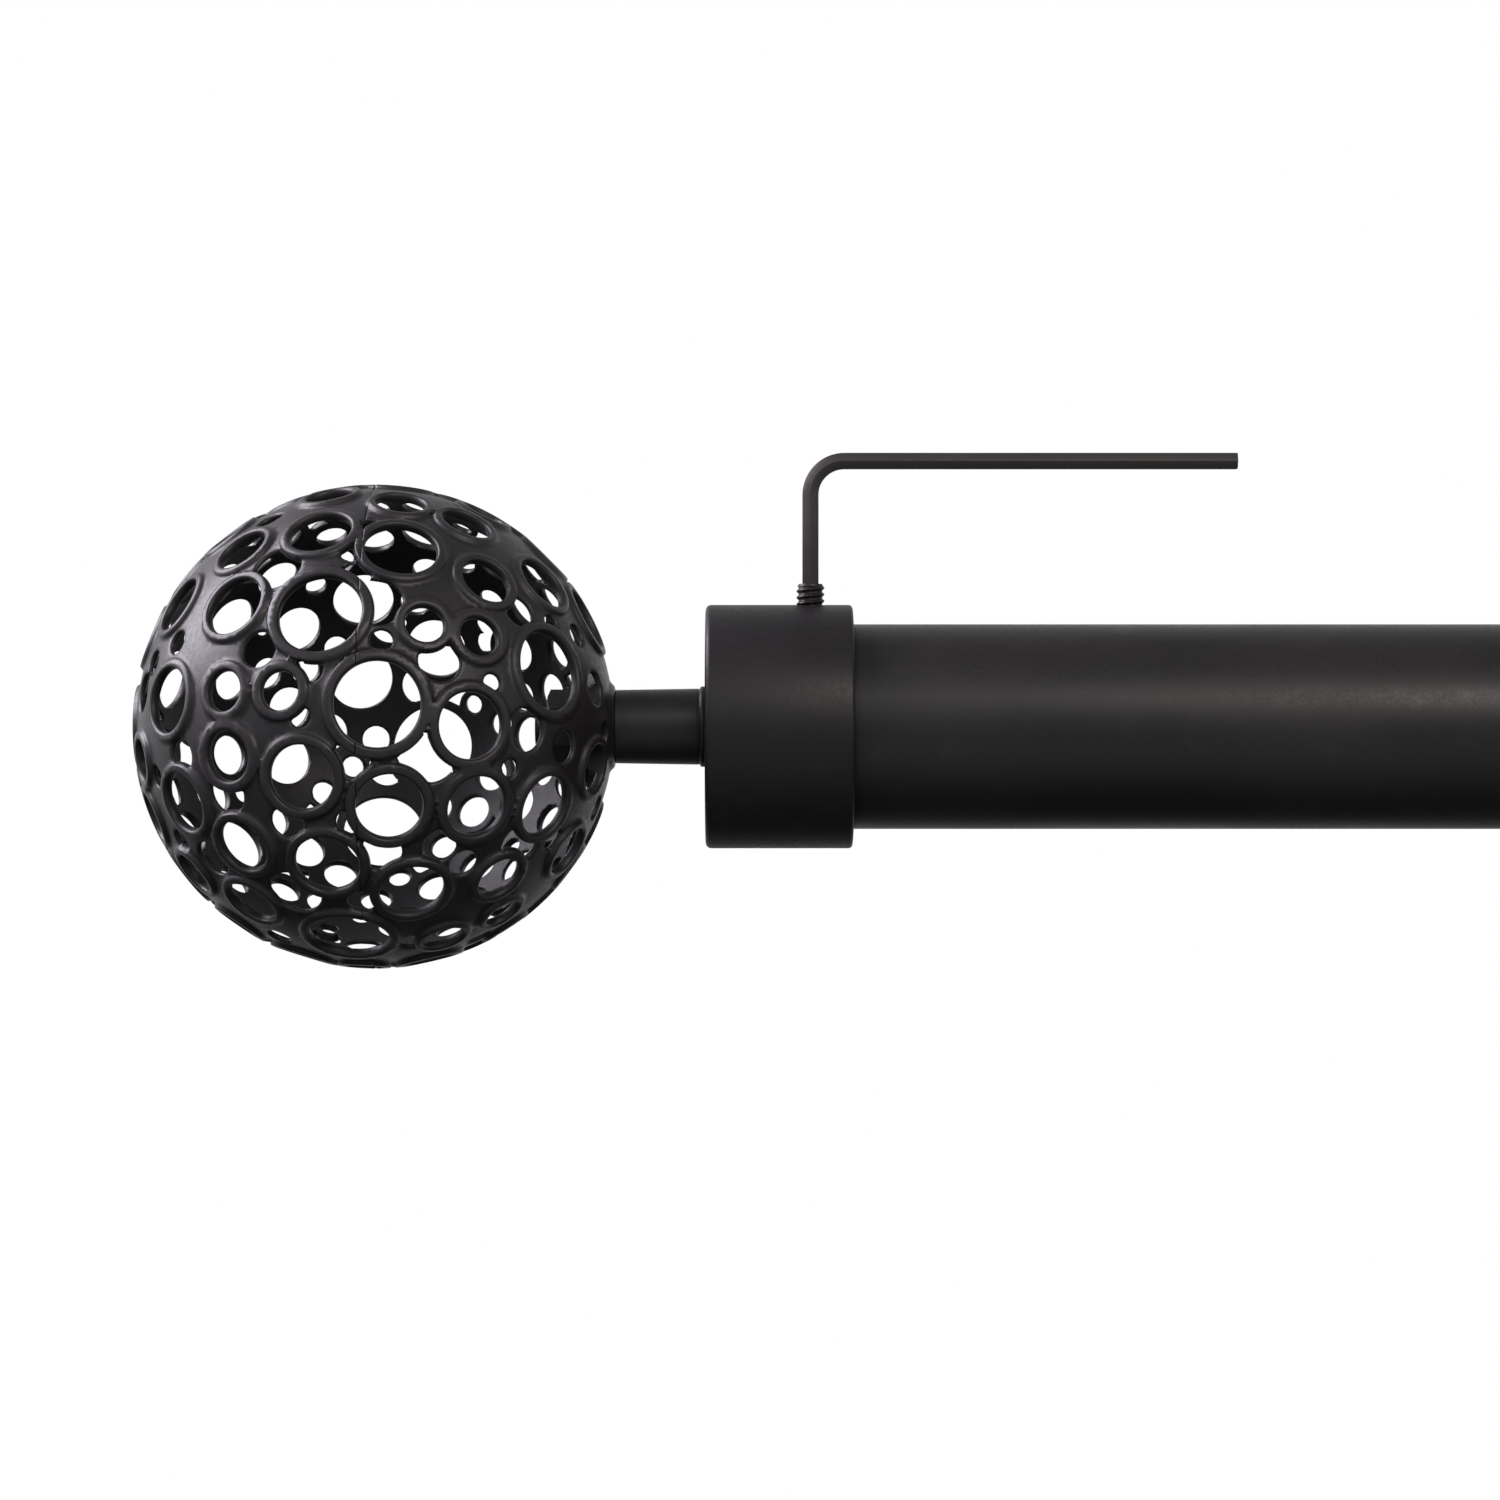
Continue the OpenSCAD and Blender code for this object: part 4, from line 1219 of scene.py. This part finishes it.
plate_low, plate_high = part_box("left_wall_plate")
half_w = (plate_high.x - plate_low.x) / 2
half_h = (plate_high.z - plate_low.z) / 2
mid_x = (plate_high.x + plate_low.x) / 2
PLATE_R = 6 * MM
plate = prism("plate", rounded([
    (-half_w, -half_h, PLATE_R), (half_w, -half_h, PLATE_R), (half_w, half_h, PLATE_R),
    (-half_w, half_h, PLATE_R)], 12),
    lambda p: Vector((mid_x + p[0], plate_high.y, p[1])),
    (0, plate_low.y - plate_high.y, 0))
apply(plate, "BEVEL", width=0.6 * MM, segments=4, limit_method="ANGLE",
      angle_limit=math.radians(50))
HOLE_R = 2.5 * MM
HOLE_SINK = 3 * MM
HOLE_FROM_MIDDLE = 22 * MM
for z in (-HOLE_FROM_MIDDLE, HOLE_FROM_MIDDLE):
    sink = lathe("sink", [
        (plate_low.y - PAST, 0, 0), (plate_low.y - PAST, HOLE_R + HOLE_SINK, 0),
        (plate_low.y + 2 * MM, HOLE_R, 0.3 * MM), (plate_high.y + PAST, HOLE_R, 0),
        (plate_high.y + PAST, 0, 0)], "Y", (mid_x, 0, z), 64)
    carve(plate, sink)
shade(plate, 40)
bracket_pair(plate, "wall_plate", "bracket_black", "wall_mounts", "wall_mounts")

# %% [markdown]
# The socket is turned, with a fillet where it grows out of its collar, and it is welded to
# the plate. A tapped hole comes up from below for the screw that pinches the arm.

# %% Arm socket
y_far, y_wall = span("left_arm_socket", 1)
COLLAR_R = radius("left_arm_socket", 2)
SOCKET_R = 8 * MM
BORE_R = 5.1 * MM
COLLAR = 2.5 * MM
collar_y = y_wall - COLLAR
socket = lathe("socket", [
    (y_wall, BORE_R, 0), (y_wall, COLLAR_R, 0), (collar_y, COLLAR_R, 0.6 * MM),
    (collar_y, SOCKET_R, 1.2 * MM), (y_far, SOCKET_R, 0.6 * MM), (y_far, BORE_R, 0.4 * MM)],
    "Y", (mid_x, 0, 0), 112, 6)
screw_at = middle("left_arm_screw")
SCREW_HOLE_R = 2.05 * MM
drill = lathe("drill", [
    (-SOCKET_R - PAST, 0, 0), (-SOCKET_R - PAST, SCREW_HOLE_R + SINK, 0),
    (-SOCKET_R + 0.5 * MM, SCREW_HOLE_R, 0), (-BORE_R + 2 * PAST, SCREW_HOLE_R, 0),
    (-BORE_R + 2 * PAST, 0, 0)], "Z", (screw_at.x, screw_at.y, 0), 48)
carve(socket, drill)
shade(socket, 40)
bracket_pair(socket, "arm_socket", "bracket_black", "wall_mounts", "wall_mounts")

# %% [markdown]
# The cradle is bent strap: a round seat under the rod, a high back and a lower front lip.
# Its outline is drawn once across the rod and pushed along it, then the edges are eased.
# A boss on the front carries the thumb screw.

# %% Cradle
SEAT_R = ROD_R + 0.3 * MM
STRAP = 3 * MM
BACK_R = SEAT_R + STRAP
BACK_RISE = 14 * MM
FRONT_RISE = 7 * MM
BOSS_R = 4.5 * MM
BOSS_T = 3 * MM


def arc(r, start_deg, end_deg, steps):
    """Points on a circle about the rod's axis, from one angle to the other."""
    angles = [math.radians(start_deg + (end_deg - start_deg) * k / steps)
              for k in range(steps + 1)]
    return [Vector((r * math.cos(a), r * math.sin(a))) for a in angles]


def lip(y_mid, rise):
    """The round top edge of the strap, at a height above the rod's axis."""
    return [Vector((y_mid, rise - STRAP / 2)) + p for p in arc(STRAP / 2, 180, 0, 12)]


cradle_low, cradle_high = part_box("left_cradle")
wall_mid = (SEAT_R + BACK_R) / 2
strap = (arc(BACK_R, 0, -180, 56) + lip(-wall_mid, FRONT_RISE) + arc(SEAT_R, 180, 360, 56)
         + lip(wall_mid, BACK_RISE))
cradle = prism("cradle", strap,
               lambda p: Vector((cradle_low.x, ROD_AXIS.y + p[0], ROD_AXIS.z + p[1])),
               (cradle_high.x - cradle_low.x, 0, 0))
apply(cradle, "BEVEL", width=0.45 * MM, segments=3, limit_method="ANGLE",
      angle_limit=math.radians(60))
boss_face = ROD_AXIS.y - BACK_R - BOSS_T
boss_root = ROD_AXIS.y - SEAT_R - STRAP / 2
boss = lathe("boss", [
    (boss_face, 0, 0), (boss_face, BOSS_R, 0.5 * MM), (boss_root, BOSS_R, 0),
    (boss_root, 0, 0)], "Y", (mid_x, 0, 0), 72)
carve(cradle, boss, "UNION")
drill = lathe("drill", [
    (boss_face - PAST, 0, 0), (boss_face - PAST, SCREW_HOLE_R + SINK, 0),
    (boss_face + 0.4 * MM, SCREW_HOLE_R, 0), (ROD_AXIS.y - SEAT_R + 2 * PAST, SCREW_HOLE_R, 0),
    (ROD_AXIS.y - SEAT_R + 2 * PAST, 0, 0)], "Y", (mid_x, 0, 0), 48)
carve(cradle, drill)
shade(cradle, 40)
bracket_pair(cradle, "cradle", "bracket_black", "left_arm", "right_arm")

# %% [markdown]
# The arm is a plain bar. Its end is coped to the back of the cradle and held there by a
# small weld bead, which ripples a little as a hand-laid weld does.

# %% Arm and its weld
arm_front, arm_back = span("left_arm", 1)
ARM_R = radius("left_arm", 2)
WELD_R = 0.75 * MM
WEAVE = 0.4 * MM


def cope(z):
    """y of the cradle's back at height z."""
    drop = 0 if z >= 0 else BACK_R - math.sqrt(max(BACK_R ** 2 - z * z, 0))
    return ROD_AXIS.y + BACK_R - drop


arm = lathe("arm", [
    (arm_back, 0, 0), (arm_back, ARM_R, 0.7 * MM), (arm_front, ARM_R, 0), (arm_front, 0, 0)],
    "Y", (mid_x, 0, 0), 96)
arm_middle = (arm_front + arm_back) / 2
for vertex in arm.data.vertices:
    if vertex.co.y < arm_middle:
        vertex.co.y = cope(vertex.co.z)
deselect()
bpy.ops.mesh.primitive_torus_add(
    major_radius=ARM_R + 0.25 * MM, minor_radius=WELD_R, major_segments=144,
    minor_segments=16, location=(mid_x, 0, 0), rotation=(math.radians(90), 0, 0))
weld = begin("weld")
settle(weld)
for vertex in weld.data.vertices:
    around = math.atan2(vertex.co.z, vertex.co.x - mid_x)
    ripple = 1 + 0.05 * math.sin(26 * around) + 0.03 * math.sin(7 * around + 1)
    vertex.co.y = vertex.co.y * ripple + cope(min(vertex.co.z, 0))
    reach = Vector((vertex.co.x - mid_x, 0, vertex.co.z))
    vertex.co += reach.normalized() * WEAVE * (ripple - 1)
carve(arm, weld, "UNION")
shade(arm, 40)
bracket_pair(arm, "arm", "bracket_black", "left_arm", "right_arm")

# %% [markdown]
# A thumb screw comes from the front and holds the rod in its cradle. Its knob is scalloped
# for the fingers and has a shallow dish in its face, and it is joined to a threaded shank.

# %% Thumb screw
screw_low, screw_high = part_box("left_thumb_screw")
knob_r = (screw_high.x - screw_low.x) / 2
KNOB_T = 6 * MM
knob_back = screw_low.y + KNOB_T
SCALLOPS = 18
SCALLOP_DEPTH = 0.5 * MM
SHANK_R = 2 * MM
OVERLAP = 0.2 * MM
knob_points = SCALLOPS * 8
scalloped = []
for k in range(knob_points):
    a = 2 * math.pi * k / knob_points
    dip = max(0, math.cos(SCALLOPS * a)) ** 2
    scalloped.append(Vector((math.cos(a), math.sin(a))) * (knob_r - SCALLOP_DEPTH * dip))
knob = prism("knob", scalloped, lambda p: Vector((mid_x + p[0], screw_low.y, p[1])),
             (0, KNOB_T, 0))
apply(knob, "BEVEL", width=0.45 * MM, segments=3, limit_method="ANGLE",
      angle_limit=math.radians(60))
dish = lathe("dish", [
    (screw_low.y - PAST, 0, 0), (screw_low.y - PAST, knob_r * 0.66, 0),
    (screw_low.y + 0.5 * MM, knob_r * 0.55, 0.3 * MM), (screw_low.y + 0.5 * MM, 0, 0)],
    "Y", (mid_x, 0, 0), 64)
carve(knob, dish)
shank = threaded("shank", "Y", (mid_x, knob_back - OVERLAP, 0),
                 screw_high.y - knob_back + OVERLAP, SHANK_R, FINE_PITCH, FINE_DEPTH)
carve(knob, shank, "UNION")
shade(knob, 38)
bracket_pair(knob, "thumb_screw", "screw_black_oxide",
             "left_thumb_screw", "right_thumb_screw")

# %% [markdown]
# ## The end
# The table lists what was made.

# %% Triangle counts, and finish
print("pieces:", len(TABLE), "triangles:", sum(count for _, count in TABLE))
